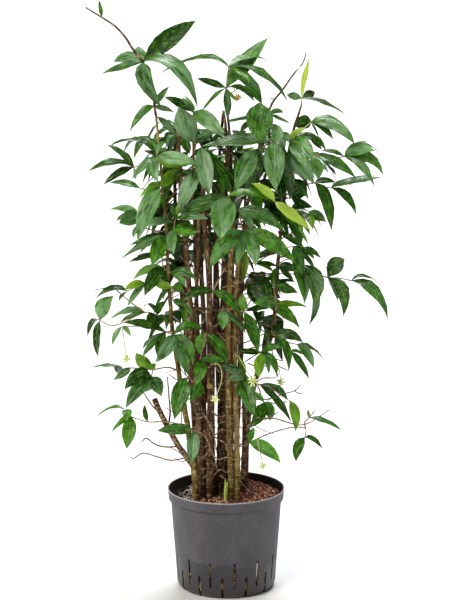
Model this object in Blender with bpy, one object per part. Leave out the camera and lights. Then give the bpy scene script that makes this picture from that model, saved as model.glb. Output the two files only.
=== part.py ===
"""Potted gold-dust dracaena in a slotted culture pot.

Frame: metres, +Z up, origin at the middle of the flat underside of the pot.  The front of the
plant looks along -Y.  The planting plan below is in centimetres.
"""
import math
import random

import bmesh
import bpy
from mathutils import Matrix, Vector
from mathutils.bvhtree import BVHTree

# ------------------------------------------------------------------ driving dimensions (metres)
CM = 0.01
GAP = 0.0003                 # clearance left between two solids that touch

POT_HEIGHT = 0.192
RIM_RADIUS = 0.110           # 22 cm culture pot
BAND_HEIGHT = 0.021          # plain band below the lip
BAND_STEP = 0.0042           # the band stands this far proud of the wall
FOOT_RADIUS = 0.0935
FOOT_FILLET = 0.012
POT_WALL = 0.0024
POT_SIDES = 48
SLOT_WIDTH = 0.004
SLOT_COUNT = 13
SLOT_TURN = math.radians(9.8)      # first long slot, from the front towards +X
LONG_SLOT = (0.022, 0.071)
SHORT_SLOT_TOP = 0.0425

BED_TOP = 0.177              # mean height of the granules
BED_HOLLOW = 0.024           # how far they have sunk at the back left
BED_RINGS = (0.045, 0.080)
CANE_FOOT = 0.128            # the canes end this high, deep in the granules

CANE_SIDES = 7
TWIG_SIDES = 4
TWIG_RADIUS = 0.0013
KNOT_RADIUS = 0.0038         # swelling that carries a whorl of leaves
LEAF_THICKNESS = 0.0012
FLOWER_RADIUS = 0.0085

# The plan is an elevation: a point (x, z) lies on the plane y = 0 as seen from this standpoint,
# and its depth y slides it along that line of sight.
EYE = Vector((0.0215, -4.2, 1.433))

# ------------------------------------------------------------------ colours (linear) and finish
FINISH = {
    "pot_plastic": ((0.105, 0.100, 0.115), 0.55),
    "clay_granules": ((0.33, 0.15, 0.10), 0.95),
    "cane_bark": ((0.070, 0.042, 0.026), 0.75),
    "green_cane": ((0.16, 0.14, 0.035), 0.60),
    "leaf": ((0.045, 0.155, 0.035), 0.38),
    "young_stem": ((0.36, 0.52, 0.14), 0.45),
    "flower": ((0.62, 0.68, 0.30), 0.60),
}

# ------------------------------------------------------------------ planting plan (centimetres)
# group: finish, then each cane as its route (x, z, y) with its radius at the foot and at the top
CANES = {
    "left_cane": ("cane_bark", [
        ([(-5.6, 12, -3.2), (-5.7, 18, -3.2), (-6.1, 23, -3), (-7.0, 29.5, -2.8), (-8.0, 36, -2.5),
          (-9.0, 43, -2.5), (-10.1, 51, -2.5), (-10.6, 60, -2.5), (-11.1, 70, -3),
          (-11.8, 79, -3), (-12.7, 89.5, -2)], 0.78, 0.22)]),
    "left_pair": ("cane_bark", [
        ([(-4.4, 12, -1), (-4.5, 19, -1), (-4.7, 25, -1), (-5.4, 36, -1), (-6.3, 48, -1.2),
          (-7.0, 60, -1.2), (-7.9, 72, -1), (-8.5, 82, 0), (-8.7, 87, 0)], 0.80, 0.35),
        ([(-4.7, 12, 0.0), (-5.3, 20, 1.1), (-5.9, 30, 2.4), (-6.8, 42, 3.2), (-8, 54, 4.2),
          (-8.9, 66, 4.7), (-9.4, 77, 4.7), (-9.2, 87.5, 4.2)], 0.55, 0.30)]),
    "middle_canes": ("cane_bark", [
        ([(-3.0, 12, -1.9), (-3.1, 20, -1.9), (-3.1, 28, -1.8), (-2.95, 38, -1.8), (-3.1, 50, -1.5),
          (-3.2, 60, -1.2), (-4.0, 71, -0.8), (-4.3, 80, -0.4), (-4.4, 83, -0.4)], 0.74, 0.42),
        ([(-3.0, 12, -0.8), (-3.5, 20, 0.6), (-3.9, 30, 1.4), (-4.3, 42, 1.7), (-4.3, 54, 1.7),
          (-4.9, 62, 1.7), (-5.6, 68, 1.7), (-6.1, 76, 1.6), (-5.9, 82.5, 1.4), (-6, 89.6, 1.2)],
         0.55, 0.24),
        ([(-3.3, 12, 0.3), (-4.0, 20, 0.5), (-4.7, 30, 1.2), (-5.3, 40, 1.0), (-5.6, 50, 0.6),
          (-5.4, 58, 0.3), (-5.0, 66, 0.1), (-4.9, 74, 0.2)], 0.46, 0.34)]),
    "dark_canes": ("cane_bark", [
        ([(-1.95, 12, -0.3), (-2.2, 20, 0), (-2.45, 30, 0.2), (-2.35, 40, 0.2), (-2.2, 52, 0.2),
          (-2.1, 64, 0.3), (-2.0, 77, 0.5)], 0.45, 0.30),
        ([(-1.1, 12, -0.1), (-0.95, 20, 0.3), (-0.8, 30, 0.6), (-0.8, 40, 0.9), (-0.7, 52, 1.1),
          (-0.4, 64, 1.1), (0.1, 76, 0.8), (0.1, 86, 0.4), (-0.45, 90.6, 0.3)], 0.66, 0.40),
        ([(-1.55, 12, 0.3), (-1.65, 20, 0.5), (-1.45, 26, 0.7), (-1.3, 32, 0.9), (-1.25, 40, 1.1),
          (-1.3, 50, 1.4), (-1.5, 60, 1.4), (-1.7, 68, 1.4)], 0.45, 0.36)]),
    "golden_pair": ("green_cane", [
        ([(0.9, 12, -3.2), (0.85, 20, -3.3), (0.62, 28, -3.1), (0.48, 36, -2.9), (0.4, 46, -2.7),
          (0.7, 58, -2.4), (1.15, 68, -2.2), (1.2, 73.3, -2.4)], 0.66, 0.40),
        ([(1.85, 12, -3.0), (2.1, 20, -3.0), (2.05, 28, -2.8), (1.85, 36, -2.4), (1.6, 46, -2.0),
          (1.9, 58, -2), (2.95, 67, -2.4)], 0.68, 0.38)]),
    "right_cane": ("cane_bark", [
        ([(3.3, 12, 4.4), (3.6, 20, 4.6), (4.0, 30, 4.4), (4.9, 37, 3.6), (6.3, 43, 2.6),
          (8.2, 47.5, 1.6), (9.0, 52, 1.2), (9.5, 60, 1), (10.1, 68, 1), (10.9, 76, 1),
          (11.6, 83, 0.6), (12.4, 87, 0), (13.1, 89.2, -0.4), (13.8, 91.6, -0.6)], 0.62, 0.19)]),
    "dark_cane": ("cane_bark", [
        ([(2.7, 12, 2.0), (3.2, 20, 2.2), (3.5, 30, 2.2), (3.3, 38, 2.0), (2.6, 47, 2.2),
          (2.4, 58, 2.4), (3.2, 68, 2.4), (4.9, 78, 2.2), (6.9, 87, 1.6), (8.3, 91.6, 1),
          (10.1, 94, 0.4), (12.4, 97.3, 0), (14.1, 99.4, 0), (14.6, 101.2, 0)], 0.72, 0.14)]),
    "centre_pair": ("cane_bark", [
        ([(0.6, 12, 1.9), (0.85, 20, 2.0), (1.1, 30, 2.2), (1.1, 42, 2.5), (1.1, 54, 2.7),
          (1.3, 66, 2.6), (1.1, 78, 2.0), (0.6, 87, 1.3), (0.1, 94.2, 0.4)], 0.50, 0.22),
        ([(0.3, 12, 2.6), (0.1, 20, 3.0), (0, 30, 3.3), (0, 42, 3.5), (0.15, 54, 3.6),
          (0.3, 66, 3.5), (0.5, 72, 3.4)], 0.42, 0.32)]),
    "rear_right_cane": ("cane_bark", [
        ([(1.5, 12, 4.6), (1.7, 20, 5.0), (2.2, 32, 5.4), (2.6, 44, 5.6), (2.8, 56, 5.4),
          (3.0, 63, 5.0), (3.6, 68.4, 4.6), (5.2, 72, 4.0), (7.2, 75, 3.2), (8.5, 79.5, 2),
          (9.2, 84.3, 0.6)], 0.55, 0.28)]),
    "rear_pair": ("cane_bark", [
        ([(-0.9, 12, 4.6), (-0.8, 20, 5.0), (-0.4, 34, 6.6), (0, 50, 8.6), (-0.6, 66, 10.2),
          (-1.2, 80, 11), (-0.5, 90, 11)], 0.55, 0.28),
        ([(-0.3, 12, 5.3), (0.2, 20, 6.2), (1.2, 34, 8.4), (2.0, 50, 10.4), (2.7, 62, 11.4),
          (5.0, 72, 12.2), (7.6, 80, 12.6), (8, 89, 12.4)], 0.50, 0.26)]),
    "rear_left_cane": ("cane_bark", [
        ([(-2.6, 12, 3.4), (-2.9, 20, 4.0), (-4.2, 34, 6.4), (-6.0, 50, 8.8), (-7.6, 66, 10.6),
          (-8.6, 80, 11.6), (-8.6, 90, 11.4)], 0.50, 0.28)]),
}

# spray: the group it grows from, its twigs as routes (x, z, y), and its whorls.  A whorl is a
# twig point with its leaves, each (x, z half-way along the outer edge, tip x, z, tip depth from
# the whorl, width shown).
SPRAYS = {
    "crown_left": ("left_cane", [
        [(-12.8, 90.2, -2), (-13.0, 91.4, -2), (-13.6, 96.8, -2), (-15, 99.4, -2)],
        [(-15, 99.4, -2), (-17, 102, -2), (-18.1, 103.8, -2), (-20, 105.9, -2),
         (-22.4, 107.5, -2), (-25.3, 109.3, -2)]], [
        ((-15, 99.4, -2), [
            (-9.8, 104.3, -5.4, 106.9, 3, 3.2), (-8.9, 99.6, -5.1, 91, -4, 2.6),
            (-19, 98.7, -22.6, 97.3, -1, 1.1), (-18.6, 101.2, -20.4, 99.4, 5, 2.0),
            (-15.4, 101.2, -15.8, 102.3, 8, 2.0), (-15.9, 96.2, -11.6, 91.1, -5, 2.6),
            (-14.2, 98, -13.7, 96.2, -5, 1.0)]),
        ((-13.0, 91.4, -2), [
            (-15.3, 90.6, -17.6, 86.6, -1, 1.4), (-11.4, 91.0, -9.4, 90.3, 2, 1.0),
            (-11.7, 93.5, -10.3, 95, 1, 1.1)]),
        ((-22.4, 107.5, -2), [(-22.7, 109.2, -22.9, 110.7, 0, 0.7)])]),
    "upper_left": ("middle_canes", [
        [(-5.8, 82.6, 1.2), (-5.5, 84.4, -1.5), (-5.5, 87.5, -1.8), (-6, 90.3, -1.5)],
        [(-5.5, 84.4, -1.5), (-7.4, 85.6, -2.2), (-9.2, 86.2, -2.4)]], [
        ((-6, 90.3, -1.5), [
            (-8.6, 92.3, -11.3, 93.1, 0, 1.5), (-7.2, 92, -7.9, 93, -4, 1.0),
            (-6.2, 92, -7.6, 93.4, 4, 0.7), (-3.0, 89.4, -0.4, 85.6, -5, 2.7)]),
        ((-5.5, 84.4, -1.5), [
            (-7.6, 88, -8.6, 91.3, -5, 3.7), (-3.3, 86.3, -1.4, 88, -4, 1.6)]),
        ((-9.2, 86.2, -2.4), [
            (-10.8, 88.4, -12.6, 89.5, 0, 1.3), (-11.2, 86.2, -10.4, 83.9, -3, 1.4),
            (-9.4, 84.6, -10.4, 82.8, 1, 0.8)])]),
    "centre_top": ("centre_pair", [
        [(0.1, 94.7, 0.4), (0.3, 96.5, 0.2), (0.5, 98.5, 0)]], [
        ((0.5, 98.5, 0), [
            (-4.6, 100.4, -12.3, 97.1, 2, 0.7), (4.4, 100.7, 8, 99.4, 5, 0.8),
            (6.6, 98.3, 11.4, 92, 0, 1.1), (3.4, 97.6, 4.3, 95.6, -4, 0.9),
            (4.6, 96.1, 6.6, 92.6, 3, 2.0)]),
        ((0.1, 94.7, 0.4), [
            (3.4, 99.4, 7.7, 103.8, 4, 2.9), (-2.6, 96, -5.3, 96.4, -1, 1.2),
            (3.2, 94.9, 5.2, 92.2, -3, 1.0), (-2.3, 93, -4.4, 90.4, -1, 0.6),
            (0.3, 92, 0.3, 88.9, -4, 1.3), (2.0, 92.4, 3.2, 93.3, -1, 0.6)])]),
    "front_upper_right": ("dark_cane", [
        [(7.0, 87.4, 1.6), (7.8, 89.9, -2.5), (6.3, 92, -5)]], [
        ((6.3, 92, -5), [(5.9, 88.6, 6.8, 84.5, -2, 4.6)]),
        ((7.8, 89.9, -2.5), [
            (9.4, 91, 10.6, 90.1, 1, 0.9), (10, 89.2, 11.8, 88.2, 1, 0.6),
            (2.6, 89, 0.2, 88.6, 3, 0.6)])]),
    "right_top": ("right_cane", [
        [(13.85, 92, -0.6), (13.9, 92.8, -0.6)]], [
        ((13.9, 92.8, -0.6), [
            (14.9, 96.6, 15.2, 100.4, 0, 0.9), (15.2, 93.6, 16.3, 94, 4, 1.6),
            (17.9, 92.2, 21.9, 89.8, 0, 0.7), (12.4, 93.4, 11.1, 93.4, -3, 1.3)])]),
    "right_upper": ("right_cane", [
        [(11.6, 83.8, 0.5), (11.7, 85, -2.5)],
        [(11.7, 85, -2.5), (13.6, 86.6, -3.5), (15.6, 88.5, -3.5)]], [
        ((11.7, 85, -2.5), [
            (13, 87.2, 14.6, 87.4, -3, 1.0), (14.3, 84.7, 16.1, 81.3, -4, 3.1),
            (13.5, 83.1, 14.8, 80, -6, 2.1), (13.4, 80.6, 16.3, 77.2, 0, 3.2),
            (15.8, 86.2, 18.4, 83, 3, 1.1)]),
        ((15.6, 88.5, -3.5), [
            (19, 89.7, 22.2, 87.4, 1, 1.0), (20.8, 88.4, 23.6, 84.3, -3, 1.9),
            (18.4, 87.4, 19.7, 85.2, -1, 1.1), (16.2, 87, 17.1, 85.6, -2, 0.4),
            (13.9, 88.7, 12.3, 87.7, 3, 2.4)])]),
    "right_mid_upper": ("right_cane", [
        [(11.4, 81, 0.8), (13.5, 82.1, 2), (16.8, 82.3, 1), (19.5, 81.9, 0), (21.7, 82.1, -1)],
        [(13.5, 82.1, 2), (15.2, 81.3, 2.4)]], [
        ((16.8, 82.3, 1), [
            (18.3, 82.5, 19.5, 82, 2, 0.7), (20.6, 81.3, 23.9, 78.1, -2, 1.8),
            (19, 80.2, 20.3, 78.6, 2, 0.5)]),
        ((15.2, 81.3, 2.4), [(17.3, 80.7, 16.9, 77.8, 0, 2.4)]),
        ((21.7, 82.1, -1), [
            (19.8, 83.5, 17.4, 83.1, -1, 0.8), (23.9, 84.6, 27.4, 83.1, -5, 2.2),
            (24, 84.7, 26.2, 84.9, 4, 0.8), (26.8, 82.8, 29, 78.3, 1, 2.0),
            (24.9, 81.4, 27.4, 76.4, -3, 1.6), (25.4, 84.6, 28.1, 82.6, 2, 0.8)])]),
    "right_arm": ("right_cane", [
        [(10.7, 74.6, 1), (13, 76.3, 1), (16.3, 77.2, 0), (17.8, 76.5, -0.5), (19.4, 76.3, -1)]], [
        ((16.3, 77.2, 0), [
            (18.2, 78.3, 20.2, 77.3, 2, 1.1), (18.8, 74.8, 19.5, 68.3, -2, 2.1)]),
        ((19.4, 76.3, -1), [
            (23.8, 77.9, 28.7, 78.2, 0, 1.3), (22.6, 75.4, 24, 71.3, -2, 1.5),
            (21.6, 77.6, 23.6, 76.3, 3, 0.7)])]),
    "centre_upper": ("rear_right_cane", [
        [(9.2, 84.8, 0.5), (9.1, 85, -3), (8.8, 84.9, -6)],
        [(9.1, 85, -3), (7.4, 84.2, -5), (5.7, 83.5, -6)]], [
        ((8.8, 84.9, -6), [
            (2.5, 85.6, -4.3, 84, -2, 2.0), (8.8, 81.3, 9.2, 75.7, -4, 3.6),
            (10.2, 86.8, 8.1, 88.2, 0, 2.2), (10.8, 86.6, 11.9, 86, 3, 1.2),
            (11.4, 79.6, 11.8, 74, 1, 2.3)]),
        ((5.7, 83.5, -6), [
            (3.2, 80.3, 1.8, 75.5, -4, 3.1), (5.6, 79.6, 3.4, 76, 1, 3.0)])]),
    "centre_left": ("middle_canes", [
        [(-4.25, 78.4, -0.5), (-5.0, 80.4, -3.5), (-4.6, 83.8, -4)]], [
        ((-4.6, 83.8, -4), [
            (-3.8, 79.6, -3.1, 74.8, -5, 3.1), (-1.3, 79.8, 1.2, 74.9, -1, 2.6)]),
        ((-5.0, 80.4, -3.5), [(-7.1, 76.6, -8.8, 71.3, -4, 2.7)])]),
    "left_upper": ("left_cane", [
        [(-12.1, 80.8, -3), (-12.7, 82, -5)],
        [(-12.7, 82, -5), (-14.6, 81, -4.5), (-16.8, 80.1, -4.5)]], [
        ((-12.7, 82, -5), [
            (-8.8, 82.2, -5.1, 80.6, -3, 2.3), (-15, 80.9, -17.3, 77.9, -3, 1.5),
            (-14.3, 80.6, -12.3, 77.3, -5, 2.2), (-14, 83.2, -15.1, 83.2, 3, 0.7),
            (-14.9, 85.1, -16.6, 83.8, 1, 0.8), (-13.4, 84.4, -13.3, 85.1, 7, 1.6),
            (-11.6, 84.9, -10.5, 83.8, 2, 0.7), (-10.4, 80.5, -8, 79.7, 5, 1.4)]),
        ((-16.8, 80.1, -4.5), [
            (-19, 83.3, -21.9, 84.3, 1, 1.2), (-21, 81.4, -25.4, 79.3, -1, 1.1),
            (-19.8, 79.6, -22.5, 76.8, -1, 1.3), (-16.6, 79, -16.7, 77.7, 2, 0.6)])]),
    "left_shoulder": ("left_cane", [
        [(-11.75, 77, -3.1), (-12.1, 76.6, -5)],
        [(-12.1, 76.6, -5), (-13.6, 75.9, -4), (-15.8, 76.2, -3)]], [
        ((-12.1, 76.6, -5), [
            (-14, 76.6, -16, 74.3, -1, 0.9), (-13.6, 77.4, -14.5, 75.8, 1, 1.1),
            (-14.8, 73.4, -16.3, 66.3, -5, 3.1), (-10.4, 78.2, -9.2, 79.8, 5, 2.0)]),
        ((-15.8, 76.2, -3), [(-18.6, 77.8, -21.4, 77.2, 0, 1.2)])]),
    "left_arm": ("left_cane", [
        [(-11, 68.6, -3), (-13, 68.3, -5), (-15.6, 69.3, -6), (-16.1, 71.3, -6)]], [
        ((-15.6, 69.3, -6), [
            (-12.8, 70.6, -9.6, 69.9, -1, 1.4), (-17.2, 68.4, -17, 66.9, -1, 0.9)]),
        ((-16.1, 71.3, -6), [
            (-18.2, 70.6, -19.7, 69.7, -5, 2.7), (-18.6, 73.2, -21.5, 72.2, 3, 1.3),
            (-18.6, 71.3, -20.1, 70.1, 4, 0.6), (-13.6, 71.9, -11.9, 71, 3, 0.8)])]),
    "left_inner": ("left_pair", [
        [(-7.8, 71, -1.1), (-9.2, 70.6, -5.5), (-9.6, 68.5, -7)]], [
        ((-9.2, 70.6, -5.5), [
            (-6.4, 71.6, -3.2, 70.5, -2, 1.5), (-10, 71.8, -9.8, 73.1, -3, 1.0),
            (-8.8, 72.4, -8.3, 73.9, 1, 0.9)]),
        ((-9.6, 68.5, -7), [
            (-10.5, 66.6, -9.6, 63.8, -4, 1.8), (-7.3, 67.6, -4.9, 68.2, 0, 1.3),
            (-7.2, 69.5, -5.2, 68.4, 3, 1.1)])]),
    "centre_spray": ("golden_pair", [
        [(1.1, 73.8, -2.8), (0.2, 74.6, -6)]], [
        ((0.2, 74.6, -6), [
            (-4.4, 73.8, -8.5, 71.7, 0, 2.6), (-0.8, 70.9, -1, 66.6, -6, 4.3),
            (2.2, 71.4, -0.8, 67.1, -3, 1.0), (4.4, 75.9, 8.6, 73.6, 1, 1.2)])]),
    "centre_right": ("golden_pair", [
        [(2.95, 67.4, -2.6), (3.1, 68.3, -6), (2.6, 71, -6), (2.5, 72.5, -5)]], [
        ((3.1, 68.3, -6), [
            (-0.7, 66.9, -3, 61.1, -4, 3.0), (8.3, 67.3, 13, 62.1, -3, 2.9),
            (5.6, 65.6, 5.5, 61.6, -6, 2.6), (2.9, 65.6, 2, 62.1, -2, 1.9)]),
        ((2.5, 72.5, -5), [
            (7, 72.3, 10.9, 68, -2, 2.3), (4.4, 70.8, 4.7, 68.3, 2, 1.5)])]),
    "yellow_spray": ("rear_right_cane", [
        [(7.3, 75, 3.1), (8.6, 74.6, -1), (9, 73.7, -5)],
        [(8.6, 74.6, -1), (10.6, 74.4, 2.6), (12.1, 74.4, 3.4)]], [
        ((9, 73.7, -5), [
            (7.3, 76.4, 4.6, 77.2, -2, 1.5), (11.7, 72.2, 15.7, 68.3, -3, 1.8),
            (12.2, 70.6, 15.2, 65.7, 2, 1.3), (12.9, 69.3, 13.8, 64.9, 4, 1.4)]),
        ((12.1, 74.4, 3.4), [
            (13.1, 76, 15, 74.9, 1, 2.3), (14, 73.2, 16, 72.7, -1, 1.4)])]),
    "right_lower_arm": ("right_cane", [
        [(10, 66.6, 1), (12, 67.8, 1), (14, 70, 1.4), (14.9, 71.2, 2)],
        [(12, 67.8, 1), (13.2, 66, -1), (14.3, 65.1, -2)]], [
        ((14.9, 71.2, 2), [
            (16.6, 71.9, 18.5, 69.9, 1, 1.9), (16.1, 70.6, 16, 68.6, -3, 1.3)]),
        ((14.3, 65.1, -2), [
            (16, 64.9, 17.6, 63.1, 0, 1.0), (12.7, 66.7, 11, 67.8, -2, 0.8),
            (15.4, 64.2, 16.4, 62.9, 3, 0.8)])]),
    "left_middle": ("left_cane", [
        [(-10.65, 60.8, -2.6), (-11.5, 61.3, -4.8), (-11.8, 63.4, -5), (-11.3, 67.2, -5)],
        [(-11.5, 61.3, -4.8), (-10.2, 60.4, -5)]], [
        ((-11.3, 67.2, -5), [
            (-12.7, 65, -13.7, 61.7, -3, 2.7), (-14.2, 67.2, -17.8, 65.6, 2, 1.4),
            (-15.2, 65.7, -19.6, 62.9, 0, 1.3)]),
        ((-11.8, 63.4, -5), [
            (-14.8, 63.9, -16.6, 63.6, 3, 0.9), (-15.4, 63.3, -18.1, 62.4, 1, 0.9)]),
        ((-11.5, 61.3, -4.8), [
            (-14.6, 61.9, -17.3, 59, -2, 1.5), (-13.8, 59.8, -15.1, 56, -5, 2.5)]),
        ((-10.2, 60.4, -5), [
            (-7.8, 61.4, -5.4, 59.1, -2, 1.5), (-8.6, 59.8, -7.5, 57.7, -4, 1.1)])]),
    "left_inner_low": ("left_cane", [
        [(-10.3, 56.5, -2.6), (-9.9, 57.6, -5.4), (-9.9, 55.2, -6)]], [
        ((-9.9, 57.6, -5.4), [
            (-11.6, 58.2, -13.4, 58.3, 4, 1.5), (-9, 58.2, -7.8, 56.8, 3, 1.6)]),
        ((-9.9, 55.2, -6), [
            (-8.4, 55, -7, 53.2, -1, 1.3), (-7.2, 54.2, -6.2, 51.8, 1, 0.9),
            (-8, 53.2, -7.6, 50.8, -1, 0.6)])]),
    "left_low_arm": ("left_cane", [
        [(-10.5, 59, -2.6), (-12.6, 58.7, -2), (-15, 58.5, -3), (-18.3, 56.9, -3)]], [
        ((-15, 58.5, -3), [
            (-17, 58.7, -18.9, 57, -3, 1.3), (-16.8, 56.6, -18.3, 54, -3, 1.2)]),
        ((-18.3, 56.9, -3), [
            (-21.2, 57.8, -24.2, 55.5, 0, 1.0), (-22.4, 57.5, -24.8, 56.8, 3, 0.4),
            (-19.4, 56.2, -19.8, 55.1, 2, 0.6)])]),
    "left_long_arm": ("left_cane", [
        [(-10.1, 51.3, -2.6), (-12.8, 52.3, -4), (-15.1, 52.9, -4.5), (-19, 51, -4.5),
         (-21.4, 50.4, -4.5), (-23.4, 51.4, -4.5)],
        [(-15.1, 52.9, -4.5), (-17, 54.3, -4), (-18.5, 55.5, -4), (-21.1, 57.9, -4)]], [
        ((-23.4, 51.4, -4.5), [
            (-23.7, 54.4, -20.8, 56, -3, 2.7), (-24.9, 51.6, -25.8, 48.3, 2, 1.0),
            (-24.6, 48.2, -23.8, 44.3, -2, 1.4)]),
        ((-15.1, 52.9, -4.5), [
            (-18.3, 53.7, -21.7, 51.5, 2, 1.1), (-17.4, 52.7, -19.7, 50.9, -3, 0.8)]),
        ((-12.8, 52.3, -4), [
            (-14.3, 52, -14, 50.2, -5, 2.0), (-13, 53.8, -11.2, 55.1, 3, 1.3),
            (-14.1, 54.6, -15.4, 53.9, 3, 0.6), (-11.8, 52.3, -10.4, 50.8, -5, 1.1)])]),
    "left_hip": ("left_cane", [
        [(-9.9, 49.4, -2.6), (-11.2, 49.2, -5), (-15.4, 50.2, -5.5), (-19.3, 50.2, -5.5)],
        [(-11.2, 49.2, -5), (-9.7, 48.6, -6)]], [
        ((-19.3, 50.2, -5.5), [
            (-20.8, 48.8, -21.2, 46.6, -1, 0.9), (-18.3, 49.9, -17.7, 48.3, -2, 0.9)]),
        ((-11.2, 49.2, -5), [
            (-15.2, 51.3, -19, 50.9, -3, 1.5), (-14.2, 47.8, -15.5, 45.9, 2, 0.6),
            (-14.2, 47, -15.6, 44.3, -2, 1.1), (-12.6, 46.6, -12.8, 44.5, -4, 1.5)]),
        ((-9.7, 48.6, -6), [
            (-10.6, 46.3, -13.2, 43.3, -5, 2.4), (-6.6, 47, -6.2, 42.8, -3, 2.3),
            (-8, 44.6, -7.1, 40.9, -1, 2.1), (-7.4, 51.2, -4.2, 49.4, 0, 1.5)])]),
    "front_spray": ("middle_canes", [
        [(-3.1, 55, -1.5), (-2.4, 56.9, -6)],
        [(-2.4, 56.9, -6), (-1.2, 59.3, -5.5), (0, 61.6, -4.5)]], [
        ((-2.4, 56.9, -6), [
            (-5.2, 57.6, -8, 55.1, -2, 1.6), (0.6, 56.4, 2.9, 52.1, -3, 1.8)])]),
    "front_low": ("golden_pair", [
        [(0.55, 51.6, -2.6), (-0.8, 53.2, -6), (1.5, 53.6, -5.5), (3.4, 53, -4.5)]], [
        ((-0.8, 53.2, -6), [
            (-0.3, 51.4, -0.6, 49.6, -4, 1.9), (2, 51.9, 3.8, 48.8, -3, 1.1)]),
        ((3.4, 53, -4.5), [
            (5.4, 49.6, 6, 45.1, -2, 2.2), (3, 54.8, 3.1, 56.6, 2, 1.5)])]),
    "right_middle": ("right_cane", [
        [(9.1, 53, 1.2), (9.4, 54.4, -2.5), (8.9, 58, -2.5), (9.6, 61.5, -2.5)]], [
        ((9.4, 54.4, -2.5), [
            (12.2, 55, 15, 53.9, 0, 1.0), (11.9, 52.9, 13.7, 49.8, -2, 1.2),
            (6.6, 53.2, 3.7, 53.1, 0, 0.8), (6.8, 56.6, 4.3, 57.9, 3, 2.8),
            (7.6, 55.4, 5, 54.6, -2, 2.2)]),
        ((8.9, 58, -2.5), [
            (11.2, 58, 13.2, 56.5, 2, 1.4), (7.4, 59, 7.6, 56.4, -4, 1.8),
            (11.4, 59.2, 13.2, 58.4, 1, 0.7)]),
        ((9.6, 61.5, -2.5), [
            (11.7, 62.1, 13.0, 60.6, 0, 1.6), (11.6, 60.3, 12.6, 58.6, -1, 0.7),
            (8.8, 60, 8.7, 57.7, -4, 1.1), (7.2, 62.6, 5.2, 62.1, 0, 0.8)])]),
    "right_long_arm": ("right_cane", [
        [(9.75, 63.4, 1), (12.5, 63.4, 0), (14.5, 61.9, -1), (16.5, 60.5, -1), (18.8, 59.5, -1),
         (21, 59.4, -1), (23.3, 58.9, -1)]], [
        ((14.5, 61.9, -1), [
            (18.1, 59.2, 16.2, 54.1, -4, 3.0), (17.2, 56.8, 15.4, 50.4, 2, 1.3),
            (15.2, 58.4, 14.5, 54.4, -1, 1.4)]),
        ((18.8, 59.5, -1), [
            (20.3, 62.6, 22.0, 62.9, -2, 2.9), (22.4, 57.8, 21.8, 52.1, -4, 2.3),
            (20.2, 57.9, 20.8, 55, 1, 0.8)]),
        ((23.3, 58.9, -1), [
            (28.2, 57.7, 30.1, 51.5, -1, 2.0), (25.8, 60.1, 28.8, 57.9, 2, 0.5)])]),
    "right_low": ("right_cane", [
        [(8.7, 48.9, 1.5), (9.2, 48.4, -2.5), (11.2, 47.3, -3), (13.2, 46.8, -3)],
        [(11.2, 47.3, -3), (12, 45.5, -3.4)]], [
        ((9.2, 48.4, -2.5), [
            (11.8, 49.7, 14.4, 47.1, -1, 1.9), (11.6, 46.6, 11.7, 41.6, -4, 1.6),
            (9.7, 45.8, 10.6, 43.5, 1, 1.1), (9.4, 50.4, 10.8, 51.2, 5, 1.9)]),
        ((13.2, 46.8, -3), [
            (15.6, 45.7, 16.4, 42.2, -2, 1.6), (16.4, 46.3, 18.6, 43.1, 1, 0.6)]),
        ((12, 45.5, -3.4), [
            (13.5, 45.5, 14.9, 44.6, 2, 0.6), (14.4, 43.2, 15.5, 40.1, -1, 1.2)])]),
    "right_hip": ("right_cane", [
        [(6.8, 44.4, 2.4), (6.7, 45.2, -4)]], [
        ((6.7, 45.2, -4), [
            (8.6, 47, 10.4, 46.2, -2, 1.3), (9, 44.4, 9.5, 40.6, -3, 1.4),
            (7.9, 43.2, 8, 41.1, 1, 0.9), (5.9, 42.8, 6.2, 40.3, -4, 1.9),
            (4.2, 45.4, 1.9, 45.6, 0, 1.1), (8.2, 47.9, 7.1, 49.7, 2, 1.3)])]),
    "centre_low": ("middle_canes", [
        [(-3.05, 48.2, -1.6), (-3.7, 48.8, -5.5), (-4.3, 46, -5.5), (-4.9, 43.8, -5.5)]], [
        ((-3.7, 48.8, -5.5), [
            (-0.9, 47, 0.2, 42.8, -3, 1.9), (-5.6, 47.4, -4.6, 44.6, 2, 1.9)]),
        ((-4.9, 43.8, -5.5), [
            (-2.4, 44.4, 0.1, 43.5, 0, 1.3), (-4.2, 42.2, -5.7, 38.9, -3, 2.2)])]),
    "centre_low_right": ("golden_pair", [
        [(2, 41.6, -2.4), (3.7, 41, -6.5)]], [
        ((3.7, 41, -6.5), [
            (1.2, 42.2, -1.3, 42.8, 2, 1.7), (1.9, 40.3, 0.1, 40, -4, 1.3),
            (2.8, 38.9, 2.2, 36.6, -2, 1.5), (3.9, 36.8, 5.4, 32.8, -5, 2.7),
            (2.9, 43.4, 1.9, 44.9, 1, 0.8)])]),
    "left_low": ("left_cane", [
        [(-8.85, 42, -2.6), (-11, 42.4, -4), (-13.7, 42, -4.5), (-17.8, 42.3, -4.5),
         (-19.2, 42.1, -4.5)],
        [(-13.7, 42, -4.5), (-13.9, 40.6, -5)]], [
        ((-13.9, 40.6, -5), [
            (-16.6, 42, -19, 38.1, -3, 2.8), (-16.9, 38.6, -18.8, 34.5, -4, 2.4),
            (-12.9, 39.4, -12.1, 36.8, 0, 2.4), (-13.6, 38.6, -15.4, 37.6, 4, 1.6)]),
        ((-13.7, 42, -4.5), [
            (-15.9, 43.3, -16.8, 45.2, -3, 2.2), (-14.2, 43.8, -13.2, 41.6, -5, 1.5)]),
        ((-19.2, 42.1, -4.5), [
            (-22.4, 43, -25.2, 42.3, 1, 0.6), (-20.2, 41.7, -20.9, 42.6, -4, 1.4)]),
        ((-17.8, 42.3, -4.5), [(-19.2, 41.2, -21.1, 39.9, -3, 1.3)])]),
    "left_foot": ("left_cane", [
        [(-7.1, 30.7, -2.9), (-9, 31.5, -4.8), (-12, 31.9, -4.8), (-14.7, 31.9, -4.8),
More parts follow.
